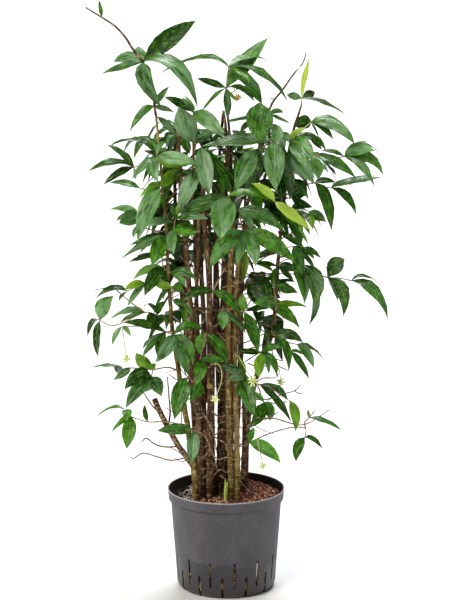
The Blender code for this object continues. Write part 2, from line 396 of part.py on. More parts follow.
         (-17.8, 32.9, -4.8), (-19, 34.2, -4.4)]], [
        ((-17.8, 32.9, -4.8), [
            (-19.6, 32.4, -21.6, 29.8, 1, 1.0), (-18.3, 30, -18.7, 26.6, -3, 2.5)]),
        ((-19, 34.2, -4.4), [
            (-18.3, 34, -18.7, 32, -3, 1.8), (-21.6, 34.7, -24.5, 32.6, 1, 0.5)]),
        ((-14.7, 31.9, -4.8), [(-15.4, 33.6, -15.2, 35.3, 1, 0.9)])]),
    "left_low_inner": ("left_pair", [
        [(-5.7, 40, -1.1), (-6.2, 40.4, -5), (-7.6, 40.4, -7)],
        [(-6.2, 40.4, -5), (-4.6, 39.5, -6)]], [
        ((-7.6, 40.4, -7), [(-8.7, 37.2, -9.7, 32.3, -4, 3.1)]),
        ((-4.6, 39.5, -6), [(-5.3, 38, -6.8, 35.6, -3, 2.0)])]),
    "left_low_pair": ("middle_canes", [
        [(-3.1, 25.4, -1.9), (-3, 26.4, -4.4), (-3.6, 28.4, -4.8), (-4.6, 29.6, -5),
         (-6, 30.2, -5)]], [
        ((-6, 30.2, -5), [
            (-9.5, 30.9, -13, 30.1, -1, 2.0), (-6.2, 27.2, -6.6, 23.7, -3, 2.3)])]),
    "right_foot_upper": ("right_cane", [
        [(4.8, 36.4, 3.7), (6.4, 37.4, 1), (6, 39.1, -4), (8.5, 38.3, -4), (10.3, 37, -4),
         (11.9, 36, -4)],
        [(6.4, 37.4, 1), (7.1, 35.7, -1.5)],
        [(4.8, 36.4, 3.7), (6.4, 33, 2.2), (9.3, 32.5, 1.4), (12.5, 31.5, 0), (14.2, 31.3, -1),
         (16.2, 32, -1), (19.3, 34.2, -1)]], [
        ((6, 39.1, -4), [
            (9.4, 39, 11.6, 36, 3, 1.2), (9.4, 37.2, 12.2, 31.8, -4, 1.2)]),
        ((11.9, 36, -4), [(13.6, 33.6, 13, 30, -1, 1.8)]),
        ((7.1, 35.7, -1.5), [
            (8.7, 34.4, 8.2, 32, -1, 1.9), (6.8, 33.2, 4.4, 30.7, -3, 2.2),
            (5.9, 37, 4.8, 37.9, -2, 1.0)])]),
    "right_foot": ("dark_canes", [
        [(-0.8, 28.2, 0.4), (-0.2, 27.9, -2.2), (-0.25, 27.6, -4.4), (1.2, 27.3, -4.8),
         (4.3, 27.9, -5), (7.4, 29.3, -5), (9.9, 30.2, -5), (12.5, 30.8, -5), (14.9, 30.6, -5),
         (14.8, 28.8, -5)],
        [(14.9, 30.6, -5), (14.8, 31.9, -5), (15.5, 32.6, -5), (16.6, 34, -5)]], [
        ((4.3, 27.9, -5), [
            (4.6, 29.5, 5.3, 30.8, -2, 1.2), (7.8, 27.5, 10.3, 23.8, -3, 2.3)]),
        ((14.8, 28.8, -5), [
            (13, 27.2, 13.2, 24.1, -2, 1.9), (16.6, 28.9, 18.2, 26.5, 1, 0.9)]),
        ((15.5, 32.6, -5), [
            (15.5, 33.5, 15.3, 34.3, 2, 0.6), (18.8, 32.4, 21.9, 30.1, 0, 0.9)])]),
}

# bare wood and shoots: finish, whether it stands on a cane, and its routes with their radii
# how far a spray's twigs turn rearwards as they leave their cane: centimetres per centimetre
LEAN = {
    "crown_left": 0.35, "upper_left": 0.7, "left_upper": 0.9, "left_arm": 0.5,
    "left_middle": 0.8, "left_long_arm": 0.25, "left_low": 0.7, "left_foot": 0.5,
    "centre_top": 0.2, "right_top": 0.5, "right_upper": 0.9, "right_arm": 0.7,
    "right_mid_upper": 0.35, "right_middle": 0.8, "right_long_arm": 0.4, "right_low": 0.9,
    "right_foot_upper": 0.6, "right_foot": 0.35,
}

BARE_WOOD = {
    "pruned_branch": ("cane_bark", "left_cane", [
        ([(-6.35, 23.4, -3), (-7.5, 25.2, -2.2), (-9, 27.3, -2), (-10.6, 30.2, -1.8),
          (-12.0, 33, -1.6), (-12.9, 35, -1.6), (-13.4, 36.3, -1.6)], 0.55, 0.55),
        ([(-8.9, 27.1, -2), (-11.3, 27, -2.6), (-13.3, 27.5, -2.8), (-15, 28.7, -2.8),
          (-15.9, 27.9, -2.8)], 0.16, 0.12),
        ([(-7.3, 25, -2.2), (-10.3, 24.4, -2), (-13, 25.1, -2), (-15.6, 25.8, -2),
          (-17.3, 24.8, -2), (-18, 25, -2)], 0.14, 0.10),
        ([(-10.9, 30.8, -1.8), (-10.5, 33.6, -1.4), (-10.7, 37, -1), (-10.95, 40.6, -1)],
         0.20, 0.12),
        ([(-12.3, 33.6, -1.6), (-13.8, 35, -1.6), (-15.6, 37.8, -1.2)], 0.15, 0.12)]),
}

# flower ball: the piece that its stalk hangs from, then the stalk's route down to the ball
FLOWERS = {
    "flower_ball_left": ("left_hip", [(-19.3, 49.8, -5.6), (-18.9, 47, -5.6), (-18.6, 44.1, -5.6)]),
    "flower_ball_low": ("middle_canes", [
        (-2.7, 43.2, -1.9), (-1.3, 42.9, -9), (-0.8, 40.2, -9.5), (-2, 36.3, -9.5)]),
    "flower_ball_centre": ("golden_pair", [
        (1.9, 45.5, -2.1), (2.4, 44.4, -8), (3.6, 42.2, -10), (5, 39.8, -10)]),
    "flower_ball_right": ("right_hip", [(6.8, 44.9, -4.2), (9.6, 42.6, -1), (10.3, 39.6, -0.5)]),
    "flower_ball_foot": ("right_foot", [(5.9, 28.5, -5.1), (6.3, 26.4, -5.4), (7, 23.3, -5.4)]),
}
FLOWER_RADII = {"flower_ball_centre": 0.0115, "flower_ball_low": 0.0090}

# rear foliage: the group it grows from, where its branch leaves the cane, and its whorls
REAR_SPRAYS = {
    "rear_left_foliage": ("rear_left_cane", (-8.6, 84, 11.6), [(-8.5, 87, 14), (-13, 84, 12),
                                                             (-9, 77, 16)]),
    "rear_centre_foliage": ("rear_pair", (-1.0, 76, 10.8), [(-1, 80, 15), (3.5, 74, 15),
                                                           (-4, 68, 15)]),
    "rear_right_foliage": ("rear_pair", (7.5, 79, 12.6), [(8, 84, 15.5), (12.5, 80, 14),
                                                         (10, 70, 15)]),
}


# ------------------------------------------------------------------ scene and finish
def clear_scene():
    """Remove the objects of the start-up scene."""
    for thing in list(bpy.data.objects):
        bpy.data.objects.remove(thing, do_unlink=True)


def finish(name):
    """The material of one finish, made the first time it is asked for."""
    if name in bpy.data.materials:
        return bpy.data.materials[name]
    colour, roughness = FINISH[name]
    material = bpy.data.materials.new(name)
    material.use_nodes = True
    shader = material.node_tree.nodes["Principled BSDF"]
    shader.inputs["Base Color"].default_value = (*colour, 1)
    shader.inputs["Roughness"].default_value = roughness
    shader.inputs["Metallic"].default_value = 0
    return material


def new_object(name, solid, finish_name):
    """An object from a solid, which is a list of corners and a list of faces."""
    corners, faces = solid
    mesh = bpy.data.meshes.new(name)
    mesh.from_pydata([tuple(corner) for corner in corners], [], faces)
    mesh.validate()
    thing = bpy.data.objects.new(name, mesh)
    bpy.context.scene.collection.objects.link(thing)
    mesh.materials.append(finish(finish_name))
    return thing


def shade(thing, angle=40):
    """Smooth shading, with the edges sharper than the angle kept crisp."""
    thing.data.shade_smooth()
    thing.data.set_sharp_from_angle(angle=math.radians(angle))


# ------------------------------------------------------------------ booleans
def islands(shape):
    """The groups of corners that hang together, the largest first."""
    left, groups = set(shape.verts), []
    while left:
        group, front = set(), [next(iter(left))]
        while front:
            corner = front.pop()
            if corner not in group:
                group.add(corner)
                front.extend(edge.other_vert(corner) for edge in corner.link_edges)
        left -= group
        groups.append(group)
    return sorted(groups, key=len, reverse=True)


def is_one_body(mesh):
    """True where every edge has two faces and all corners hang together."""
    shape = bmesh.new()
    shape.from_mesh(mesh)
    one = all(len(edge.link_faces) == 2 for edge in shape.edges) and len(islands(shape)) == 1
    shape.free()
    return one


def drop_crumbs(mesh):
    """Remove the few stray corners that a Boolean can leave inside a solid."""
    shape = bmesh.new()
    shape.from_mesh(mesh)
    crumbs = [corner for group in islands(shape)[1:] if len(group) < 8 for corner in group]
    bmesh.ops.delete(shape, geom=crumbs, context="VERTS")
    shape.to_mesh(mesh)
    shape.free()


def combine(thing, tools, operation, solver):
    """The mesh of a thing after a Boolean with all its tools, which stay as they are."""
    group = bpy.data.collections.new("tools")
    for tool in tools:
        group.objects.link(tool)
    modifier = thing.modifiers.new("combine", "BOOLEAN")
    modifier.operation = operation
    modifier.solver = solver
    modifier.operand_type = "COLLECTION"
    modifier.collection = group
    bpy.context.view_layer.update()
    result = thing.evaluated_get(bpy.context.evaluated_depsgraph_get())
    mesh = bpy.data.meshes.new_from_object(result)
    thing.modifiers.remove(modifier)
    bpy.data.collections.remove(group)
    return mesh


def apply_combine(thing, tools, operation):
    """Give the thing its combined mesh and throw the tools away."""
    for solver in ("EXACT", "MANIFOLD"):
        mesh = combine(thing, tools, operation, solver)
        drop_crumbs(mesh)
        if is_one_body(mesh):
            break
    else:
        print("not one body:", thing.name)
    mesh.name = thing.name
    thing.data = mesh
    for tool in tools:
        bpy.data.objects.remove(tool, do_unlink=True)


# ------------------------------------------------------------------ the plan and its curves
def on_plan(x, z, y):
    """Metres, from a plan point in centimetres and its depth."""
    reach = (y * CM - EYE.y) / -EYE.y
    return EYE + (Vector((x * CM, 0, z * CM)) - EYE) * reach


def smooth(points, steps):
    """A Catmull-Rom curve through the points, with some steps in each span."""
    ends = [points[0] * 2 - points[1]] + points + [points[-1] * 2 - points[-2]]
    curve = []
    for a, b, c, d in zip(ends, ends[1:], ends[2:], ends[3:]):
        for step in range(steps):
            t = step / steps
            curve.append(0.5 * (2 * b + (c - a) * t + (2 * a - 5 * b + 4 * c - d) * t ** 2
                                + (3 * b - a - 3 * c + d) * t ** 3))
    return curve + [points[-1]]


def tube(route, radii, sides):
    """A closed round bar along a route, with one radius for each of its points."""
    corners, faces = [], []
    along = (route[1] - route[0]).normalized()
    across = along.orthogonal().normalized()
    for place, (point, radius) in enumerate(zip(route, radii)):
        before, after = route[max(place - 1, 0)], route[min(place + 1, len(route) - 1)]
        along = (after - before).normalized()
        across = (across - along * across.dot(along)).normalized()
        upward = along.cross(across)
        for side in range(sides):
            turn = 2 * math.pi * side / sides
            corners.append(point + (across * math.cos(turn) + upward * math.sin(turn)) * radius)
    for ring in range(len(route) - 1):
        for side in range(sides):
            a, b = ring * sides + side, ring * sides + (side + 1) % sides
            faces.append((a, b, b + sides, a + sides))
    faces.append(tuple(reversed(range(sides))))
    faces.append(tuple(range(len(corners) - sides, len(corners))))
    return corners, faces


def taper(route, foot, top):
    """Radii in metres along a route, from two radii in centimetres."""
    last = len(route) - 1
    return [(foot + (top - foot) * (place / last) ** 0.8) * CM for place in range(last + 1)]


# ------------------------------------------------------------------ room between the pieces
class Standing:
    """The solids that already stand, against which a new one is tried."""

    def __init__(self):
        self.solids = []

    @staticmethod
    def box(corners):
        """Lowest and highest corner of some corners."""
        return ([min(c[axis] for c in corners) for axis in range(3)],
                [max(c[axis] for c in corners) for axis in range(3)])

    def add(self, corners, faces):
        """Stand one more solid."""
        self.solids.append((*self.box(corners), BVHTree.FromPolygons(corners, faces)))

    def add_object(self, thing):
        """Stand an object as it is."""
        mesh = thing.data
        self.add([v.co.copy() for v in mesh.vertices], [tuple(p.vertices) for p in mesh.polygons])

    def is_clear(self, corners, faces):
        """True where the solid crosses none of those that stand."""
        low, high = self.box(corners)
        tree = BVHTree.FromPolygons(corners, faces)
        for other_low, other_high, other in self.solids:
            apart = any(low[k] > other_high[k] or high[k] < other_low[k] for k in range(3))
            if not apart and tree.overlap(other):
                return False
        return True


def surface_of(thing):
    """A search tree over the faces of an object."""
    mesh = thing.data
    corners = [v.co.copy() for v in mesh.vertices]
    return BVHTree.FromPolygons(corners, [tuple(p.vertices) for p in mesh.polygons])


def seat(carrier, point, toward, radius):
    """Where a stalk meets its carrier: its first two points, square to the bark."""
    way = (point - toward).normalized()
    place, normal, _, _ = carrier.ray_cast(point - way * 0.02, way)
    if place is None:
        place, normal, _, _ = carrier.find_nearest(toward)
    return [place + normal * GAP * 1.1, place + normal * max(0.0035, radius * 1.6)]


# ------------------------------------------------------------------ pot
def turned(profile, sides):
    """A closed ring turned from a closed outline of (radius, height) points."""
    corners = [Vector((r * math.cos(a), r * math.sin(a), z))
               for a in (2 * math.pi * (side + 0.5) / sides for side in range(sides))
               for r, z in profile]
    count, faces = len(profile), []
    for side in range(sides):
        here, there = side * count, (side + 1) % sides * count
        for k in range(count):
            n = (k + 1) % count
            faces.append((here + k, there + k, there + n, here + n))
    return corners, faces


def pot_profile():
    """Outer skin from the foot to the lip and down the inside: (radius, height)."""
    wall_top = RIM_RADIUS - 0.0015 - BAND_STEP
    step = POT_HEIGHT - BAND_HEIGHT
    fillet = FOOT_FILLET
    outer = [(FOOT_RADIUS - fillet, 0), (FOOT_RADIUS - fillet * 0.35, fillet * 0.3),
             (FOOT_RADIUS, fillet), (wall_top, step - 0.006),
             (RIM_RADIUS - 0.0015, step), (RIM_RADIUS, POT_HEIGHT - 0.001)]
    lip = [(RIM_RADIUS - 0.0008, POT_HEIGHT), (RIM_RADIUS - POT_WALL, POT_HEIGHT - 0.0004)]
    inner = [(wall_top - POT_WALL, step - 0.007), (FOOT_RADIUS - POT_WALL, fillet),
             (FOOT_RADIUS - fillet, POT_WALL)]
    return outer, lip, inner


def pot_shell():
    """The pot as one closed skin: outer wall, lip, inner wall and floor."""
    outer, lip, inner = pot_profile()
    profile = outer + lip + inner
    corners, faces = turned(profile, POT_SIDES)
    count = len(profile)
    faces = [face for face in faces if {face[0] % count, face[2] % count} != {0, count - 1}]
    faces.append([side * count for side in reversed(range(POT_SIDES))])
    faces.append([side * count + count - 1 for side in range(POT_SIDES)])
    return corners, faces


def slot_cutter(name, turn, low, high):
    """An upright bar through the wall, for one root slot."""
    reach = (0.070, 0.115)
    half = SLOT_WIDTH / 2
    corners = [Vector((x, y, z)) for x in reach for y in (-half, half) for z in (low, high)]
    faces = [(0, 1, 3, 2), (4, 6, 7, 5), (0, 4, 5, 1), (2, 3, 7, 6), (0, 2, 6, 4), (1, 5, 7, 3)]
    cutter = new_object(name, (corners, faces), "pot_plastic")
    cutter.data.transform(Matrix.Rotation(turn, 4, "Z"))
    return cutter


def make_pot():
    """The slotted culture pot."""
    pot = new_object("culture_pot", pot_shell(), "pot_plastic")
    front, step = -math.pi / 2, 2 * math.pi / SLOT_COUNT
    cutters = []
    for k in range(SLOT_COUNT):
        turn = front + SLOT_TURN + step * k
        cutters.append(slot_cutter(f"long_slot_{k}", turn, *LONG_SLOT))
        cutters.append(slot_cutter(f"short_slot_{k}", turn + step / 2, -0.01, SHORT_SLOT_TOP))
    apply_combine(pot, cutters, "DIFFERENCE")
    shade(pot, 30)
    return pot


# ------------------------------------------------------------------ granules
def bed_height(x, y):
    """Top of the granules: sunk at the back left, with small heaps."""
    sunk = (1 - math.tanh((x + 0.062) / 0.016)) * (1 + math.tanh((y + 0.030) / 0.022)) / 4
    heaps = 0.0016 * math.sin(x * 170 + 1.3) * math.cos(y * 145)
    return BED_TOP - BED_HOLLOW * sunk + 0.0015 * y / 0.08 + heaps


def make_bed(feet):
    """The granules: they fill the pot, with a pocket for each cane's foot."""
    _, _, inner = pot_profile()
    lift = GAP * 1.5
    wall = [(r - lift, z) for r, z in inner]
    top_radius = wall[0][0] - 0.0006
    lean = (wall[0][0] - wall[1][0]) / (wall[0][1] - wall[1][1])
    sides = POT_SIDES
    low = [(wall[2][0], POT_WALL + lift), wall[1]]
    corners, faces, rings = [], [], []

    def ring(radius, height=None):
        rings.append(range(len(corners), len(corners) + sides))
        for side in range(sides):
            a = 2 * math.pi * (side + 0.5) / sides
            x, y = radius * math.cos(a), radius * math.sin(a)
            z = bed_height(x, y) if height is None else height
            if radius == top_radius:
                reach = 1 - max(0, wall[0][1] - z) * lean / radius
                x, y = x * reach, y * reach
            corners.append(Vector((x, y, z)))

    for radius, height in low:
        ring(radius, height)
    for radius in (top_radius, *reversed(BED_RINGS)):
        ring(radius)
    for lower, upper in zip(rings, rings[1:]):
        for side in range(sides):
            n = (side + 1) % sides
            faces.append((lower[side], lower[n], upper[n], upper[side]))
    faces.append(tuple(reversed(rings[0])))
    corners.append(Vector((0, 0, bed_height(0, 0))))
    last = rings[-1]
    for side in range(sides):
        faces.append((last[side], last[(side + 1) % sides], len(corners) - 1))
    bed = new_object("clay_granules", (corners, faces), "clay_granules")
    apply_combine(bed, feet, "DIFFERENCE")
    shade(bed, 50)
    return bed


# ------------------------------------------------------------------ canes
def cane_route(points, steps=1):
    """A cane's curve in metres.  Its foot stands upright at CANE_FOOT."""
    placed = [on_plan(*point) for point in points]
    placed[0] = Vector((placed[0].x, placed[0].y, CANE_FOOT))
    return smooth(placed, steps)


def foot_of(name, routes, margin):
    """A slightly fatter copy of each buried foot, which makes its pocket."""
    pockets = []
    for k, (points, foot, top) in enumerate(routes):
        whole = cane_route(points)
        route = [whole[0] - Vector((0, 0, 0.0006))] + whole[1:3]
        radii = taper(whole, foot, top)[:3]
        solid = tube(route, [radius + margin for radius in radii], CANE_SIDES)
        pockets.append(new_object(f"{name}_pocket_{k}", solid, "cane_bark"))
    return pockets


def make_cane(name, finish_name, routes):
    """One group of canes, grown together at the foot."""
    parts = []
    for k, (points, foot, top) in enumerate(routes):
        route = cane_route(points)
        solid = tube(route, taper(route, foot, top), CANE_SIDES)
        parts.append(new_object(name if k == 0 else f"{name}_{k}", solid, finish_name))
    if parts[1:]:
        apply_combine(parts[0], parts[1:], "UNION")
    shade(parts[0], 60)
    return parts[0]


def make_bare_wood(name, finish_name, carrier, routes, standing):
    """Wood without leaves: a stem seated on its cane, and its side twigs."""
    parts = []
    for k, (points, foot, top) in enumerate(routes):
        placed = [on_plan(*point) for point in points]
        route = placed
        if k == 0:
            foot_points = seat(surface_of(carrier), placed[0], placed[1], foot * CM)
            route = foot_points[:1] + smooth(foot_points[1:] + placed[1:], 2)
        solid = tube(route, taper(route, foot, top), CANE_SIDES if k == 0 else 4)
        parts.append(new_object(name if k == 0 else f"{name}_{k}", solid, finish_name))
    apply_combine(parts[0], parts[1:], "UNION")
    shade(parts[0], 60)
    standing.add_object(parts[0])


def make_young_shoot():
    """A pale pointed shoot that rises at the front of the foot."""
    x, y = -0.001, -0.0435
    route = [Vector((x, y, z)) for z in (0.150, 0.173, 0.197, 0.214, 0.2215)]
    radii = [0.0019, 0.0020, 0.0018, 0.0013, 0.0004]
    shoot = new_object("young_shoot", tube(route, radii, 6), "young_stem")
    shade(shoot, 60)
    fat = [route[0] - Vector((0, 0, 0.0005))] + route[1:3]
    pocket = new_object("shoot_pocket", tube(fat, [0.0026] * 3, 6), "young_stem")
    return shoot, [pocket]


# ------------------------------------------------------------------ leaves
LEAF_OUTLINE = [(0.30, 0.94), (0.68, 0.72)]
LEAF_FOLD = 0.16             # depth of the keel, as a share of the half width


def leaf_solid(base, middle, tip, side, width):
    """A thin blade, pointed at both ends, with two edges and a keel at each station."""
    control = middle * 2 - (base + tip) * 0.5
    corners, faces = [], []
    for t, share in LEAF_OUTLINE:
        point = base.lerp(control, t).lerp(control.lerp(tip, t), t)
        along = (control.lerp(tip, t) - base.lerp(control, t)).normalized()
        across = (side - along * side.dot(along)).normalized()
        upward = across.cross(along)
        half = width / 2 * share
        keel = max(LEAF_THICKNESS, half * LEAF_FOLD)
        corners += [point - across * half + upward * keel * 0.4,
                    point + across * half + upward * keel * 0.4, point - upward * keel * 0.6]
    for ring in range(len(LEAF_OUTLINE) - 1):
        for k in range(3):
            a, b = ring * 3 + k, ring * 3 + (k + 1) % 3
            faces.append((a, b, b + 3, a + 3))
    last = len(corners) - 3
    corners += [tip, base]
    for k in range(3):
        n = (k + 1) % 3
        faces += [(last + k, last + n, last + 3), (n, k, last + 4)]
    return corners, faces


def plan_side(base, tip, shown, width):
    """The direction across a blade that shows the wanted width on the plan, upper face up."""
    along = (tip - base).normalized()
    sight = ((base + tip) * 0.5 - EYE).normalized()
    flat = along.cross(sight)
    if flat.length < 0.35:
        return along.cross(Vector((0, 0, 1))).normalized()
    flat.normalize()
    deep = along.cross(flat).normalized()
    turn = math.acos(min(1.0, shown / width))
    options = [flat * math.cos(turn) + deep * math.sin(turn) * way for way in (1, -1)]
    return max(options, key=lambda side: abs(along.cross(side).z))


def up_side(side, along):
    """The side direction turned so that the upper face looks up."""
    return side if (along.cross(side) * -1).z >= 0 else -side


LEAF_TRIES = sorted(((a, b) for a in (0, 1, -1, 2, -2, 3, -3, 4.5, -4.5, 6, -6)
                     for b in (0, 1, -1, 2, -2, 3, -3)), key=lambda pair: abs(pair[0]) + abs(pair[1]))


def middle_of(x, z, leaf):
    """Half-way along a blade's middle line, which runs half its width inside the outer edge."""
    mid_x, mid_z, tip_x, tip_z, _, shown = leaf
    out_x, out_z = mid_x - (x + tip_x) / 2, mid_z - (z + tip_z) / 2
    arch = math.hypot(out_x, out_z)
    inward = min(0.5, 0.5 * shown / arch) if arch > 0.05 else 0
    return mid_x - out_x * inward, mid_z - out_z * inward


def settled_leaf(whorl, leaf, standing):
    """The leaf's solid at the first depths that keep it clear of what stands."""
    _, _, tip_x, tip_z, depth, shown = leaf
    x, z, y = whorl
    mid_x, mid_z = middle_of(x, z, leaf)
    base = on_plan(x, z, y)
    for tip_shift, middle_shift in LEAF_TRIES:
        tip = on_plan(tip_x, tip_z, y + depth + tip_shift)
        middle = on_plan(mid_x, mid_z, y + depth * 0.6 + tip_shift * 0.5 + middle_shift)
        length = (middle - base).length + (tip - middle).length
        width = min(max(shown * CM, 0.28 * length), 0.048)
        side = up_side(plan_side(base, tip, shown * CM, width), tip - base)
        solid = leaf_solid(base, middle, tip, side, width)
        if standing.is_clear(*solid):
            return solid
    return None


def knot(point):
    """The small swelling that carries a whorl."""
    corners = [point + Vector(way) * KNOT_RADIUS for way in
               ((1, 0.1, 0), (-0.1, 1, 0), (-1, -0.1, 0), (0.1, -1, 0), (0, 0, 1), (0, 0, -1))]
    faces = [(k, (k + 1) % 4, 4) for k in range(4)] + [((k + 1) % 4, k, 5) for k in range(4)]
    return corners, faces


def join_spray(name, solids):
    """One object from a spray's solids, which all meet."""
    parts = [new_object(name if k == 0 else f"{name}_{k}", solid, "leaf")
             for k, solid in enumerate(solids)]
    apply_combine(parts[0], parts[1:], "UNION")
    shade(parts[0], 60)
    return parts[0]


SHIFTS = (0, -0.6, 0.6, -1.2, 1.2, -1.8, 1.8, -2.4, 2.4, -3.2, 3.2, -4, 4, -5, 5)


def leaning(name, twigs, whorls):
    """The spray's twigs and whorls, turned rearwards by its lean."""
    lean, foot = LEAN.get(name, 0), twigs[0][0][0]

    def turned_back(x, z, y):
        return x, z, y + lean * abs(x - foot)

    return ([[turned_back(*point) for point in twig] for twig in twigs],
            [(turned_back(*point), leaves) for point, leaves in whorls])


def make_spray(name, carrier, twigs, whorls, standing):
    """A leafy spray: its twigs, then each leaf where there is room for it."""
    bark = surface_of(carrier)
    twigs, whorls = leaning(name, twigs, whorls)
    for shift in SHIFTS:
        routes = [[on_plan(x, z, y + shift) for x, z, y in twig] for twig in twigs]
        start = on_plan(*twigs[0][0])
        routes[0] = seat(bark, start, routes[0][1], TWIG_RADIUS) + routes[0][1:]
        for route, twig in zip(routes[1:], twigs[1:]):
            if twig[0] == twigs[0][0]:
                route[0] = routes[0][1]
        wood = [tube(route, [TWIG_RADIUS] * len(route), TWIG_SIDES) for route in routes]
        wood += [knot(on_plan(x, z, y + shift)) for (x, z, y), _ in whorls]
        if all(standing.is_clear(*solid) for solid in wood):
            break
    else:
        print("no room for the twigs of", name)
    blades = []
    for (x, z, y), leaves in whorls:
        for leaf in leaves:
            solid = settled_leaf((x, z, y + shift), leaf, standing)
            if solid:
                blades.append(solid)
            else:
                print("no room for a leaf of", name, leaf)
    spray = join_spray(name, wood + blades)
    standing.add_object(spray)
    return spray


# ------------------------------------------------------------------ rear foliage
def rear_leaf(whorl, bearing, length, rise, droop, standing):
    """A leaf that leaves its whorl at a bearing, rises a little and hangs at the tip."""
    for turn in (0, 8, -8, 16, -16, 24, -24):
        for lift in (0, 0.008, -0.008, 0.016, -0.016, 0.026, -0.026):
            a = math.radians(bearing + turn)
            out = Vector((math.cos(a), math.sin(a), 0))
            middle = whorl + out * length * 0.5 + Vector((0, 0, rise * length + lift))
            tip = whorl + out * length * 0.93 + Vector((0, 0, lift - droop * length))
            side = up_side(out.cross(Vector((0, 0, 1))), tip - whorl)
            solid = leaf_solid(whorl, middle, tip, side, 0.30 * length)
            if standing.is_clear(*solid):
                return solid
    return None


def make_rear_foliage(name, carrier, start, whorl_points, standing, chance):
    """A branch behind the canes, with a rosette of leaves at the end of each twig."""
    bark = surface_of(carrier)
    whorls = [on_plan(*point) for point in whorl_points]
    foot = seat(bark, on_plan(*start), whorls[0], TWIG_RADIUS)
    wood = [tube([foot[0], foot[1], whorls[0]], [TWIG_RADIUS] * 3, TWIG_SIDES)]
    wood += [tube([whorls[0], whorl], [TWIG_RADIUS] * 2, TWIG_SIDES) for whorl in whorls[1:]]
    wood += [knot(whorl) for whorl in whorls]
    blades = []
    for whorl in whorls:
        outward = math.degrees(math.atan2(whorl.y, whorl.x))
        for k in range(5):
            bearing = outward - 96 + 48 * k + chance.uniform(-9, 9)
            length = chance.uniform(0.068, 0.098)
            rise, droop = chance.uniform(0.02, 0.30), chance.uniform(-0.15, 0.55)
            solid = rear_leaf(whorl, bearing, length, rise, droop, standing)
            if solid:
                blades.append(solid)
    foliage = join_spray(name, wood + blades)
    standing.add_object(foliage)


# ------------------------------------------------------------------ flowers
def flower_ball(point, radius):
    """A ball of many narrow florets: an icosphere with every other corner drawn in."""
    ball = bmesh.new()
    bmesh.ops.create_icosphere(ball, subdivisions=2, radius=radius)
    for corner in ball.verts:
        if len(corner.link_edges) == 6:
            corner.co *= 0.72
        corner.co += point
    solid = [v.co.copy() for v in ball.verts], [tuple(v.index for v in f.verts) for f in ball.faces]
    ball.free()
    return solid


def make_flower(name, carrier, points, standing):
    """A hanging stalk with its ball of florets."""
    bark = surface_of(carrier)
    radius = FLOWER_RADII.get(name, FLOWER_RADIUS)
    for shift in SHIFTS:
        route = [on_plan(x, z, y + shift) for x, z, y in points]
        start = seat(bark, on_plan(*points[0]), route[1], 0.0008)
        route = start[:1] + smooth(start[1:] + route[1:], 2)
        stalk = tube(route, [0.0008] * len(route), 4)
        ball = flower_ball(route[-1], radius)
        if standing.is_clear(*stalk) and standing.is_clear(*ball):
            break
    else:
        print("no room for", name)
    flower = new_object(name, ball, "flower")
    apply_combine(flower, [new_object("stalk", stalk, "flower")], "UNION")
    shade(flower, 60)
    standing.add_object(flower)


# ------------------------------------------------------------------ the whole plant
def main():
    """Build every piece, from the pot upwards."""
    clear_scene()
    standing = Standing()
    pieces = {"culture_pot": make_pot()}
    feet = []
    for name, (finish_name, routes) in CANES.items():
        pieces[name] = make_cane(name, finish_name, routes)
        standing.add_object(pieces[name])
        feet += foot_of(name, routes, GAP * 1.6)
    shoot, pocket = make_young_shoot()
    pieces["clay_granules"] = make_bed(feet + pocket)
    for thing in (pieces["culture_pot"], shoot, pieces["clay_granules"]):
        standing.add_object(thing)
    for name, (finish_name, carrier, routes) in BARE_WOOD.items():
        make_bare_wood(name, finish_name, pieces[carrier], routes, standing)
    for name, (carrier, twigs, whorls) in SPRAYS.items():
        pieces[name] = make_spray(name, pieces[carrier], twigs, whorls, standing)
    chance = random.Random(7)
    for name, (carrier, start, whorl_points) in REAR_SPRAYS.items():
        make_rear_foliage(name, pieces[carrier], start, whorl_points, standing, chance)
    for name, (carrier, points) in FLOWERS.items():
        make_flower(name, pieces[carrier], points, standing)


main()
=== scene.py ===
# Potted gold-dust dracaena: culture pot, clay pebbles, ringed canes, leafy sprays and flower
# balls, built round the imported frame.  Metres, Z up, the plant's front looks along -Y.
import math
import random

import bpy
import numpy as np
from mathutils import Matrix, Vector, kdtree


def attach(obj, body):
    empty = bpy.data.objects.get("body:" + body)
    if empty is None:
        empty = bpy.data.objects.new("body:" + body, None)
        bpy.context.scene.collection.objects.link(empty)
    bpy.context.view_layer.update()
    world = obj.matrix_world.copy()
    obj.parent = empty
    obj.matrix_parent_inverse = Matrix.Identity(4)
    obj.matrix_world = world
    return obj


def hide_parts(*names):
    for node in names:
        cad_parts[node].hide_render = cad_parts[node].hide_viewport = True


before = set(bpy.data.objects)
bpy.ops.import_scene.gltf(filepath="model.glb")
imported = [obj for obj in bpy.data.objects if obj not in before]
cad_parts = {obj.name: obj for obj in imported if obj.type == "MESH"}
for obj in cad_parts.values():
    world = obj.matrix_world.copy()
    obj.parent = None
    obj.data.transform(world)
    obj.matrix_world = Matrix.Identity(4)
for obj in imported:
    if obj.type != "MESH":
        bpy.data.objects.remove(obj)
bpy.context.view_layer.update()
cm = 0.01
up = Vector((0, 0, 1))
goldenTurn = 2.39996        # each thing's turn from the last, to fill a disc or ball evenly


def linear(hexCode):
    parts = [int(hexCode[k:k + 2], 16) / 255 for k in (1, 3, 5)]
    return (*[p / 12.92 if p <= 0.04045 else ((p + 0.055) / 1.055) ** 2.4 for p in parts], 1.0)


def feed(node, feeds):      # links, numbers and hex colours into a node's sockets
    for key, value in feeds.items():
        if isinstance(value, bpy.types.NodeSocket):
            node.id_data.links.new(value, node.inputs[key])
        else:
            node.inputs[key].default_value = linear(value) if isinstance(value, str) else value


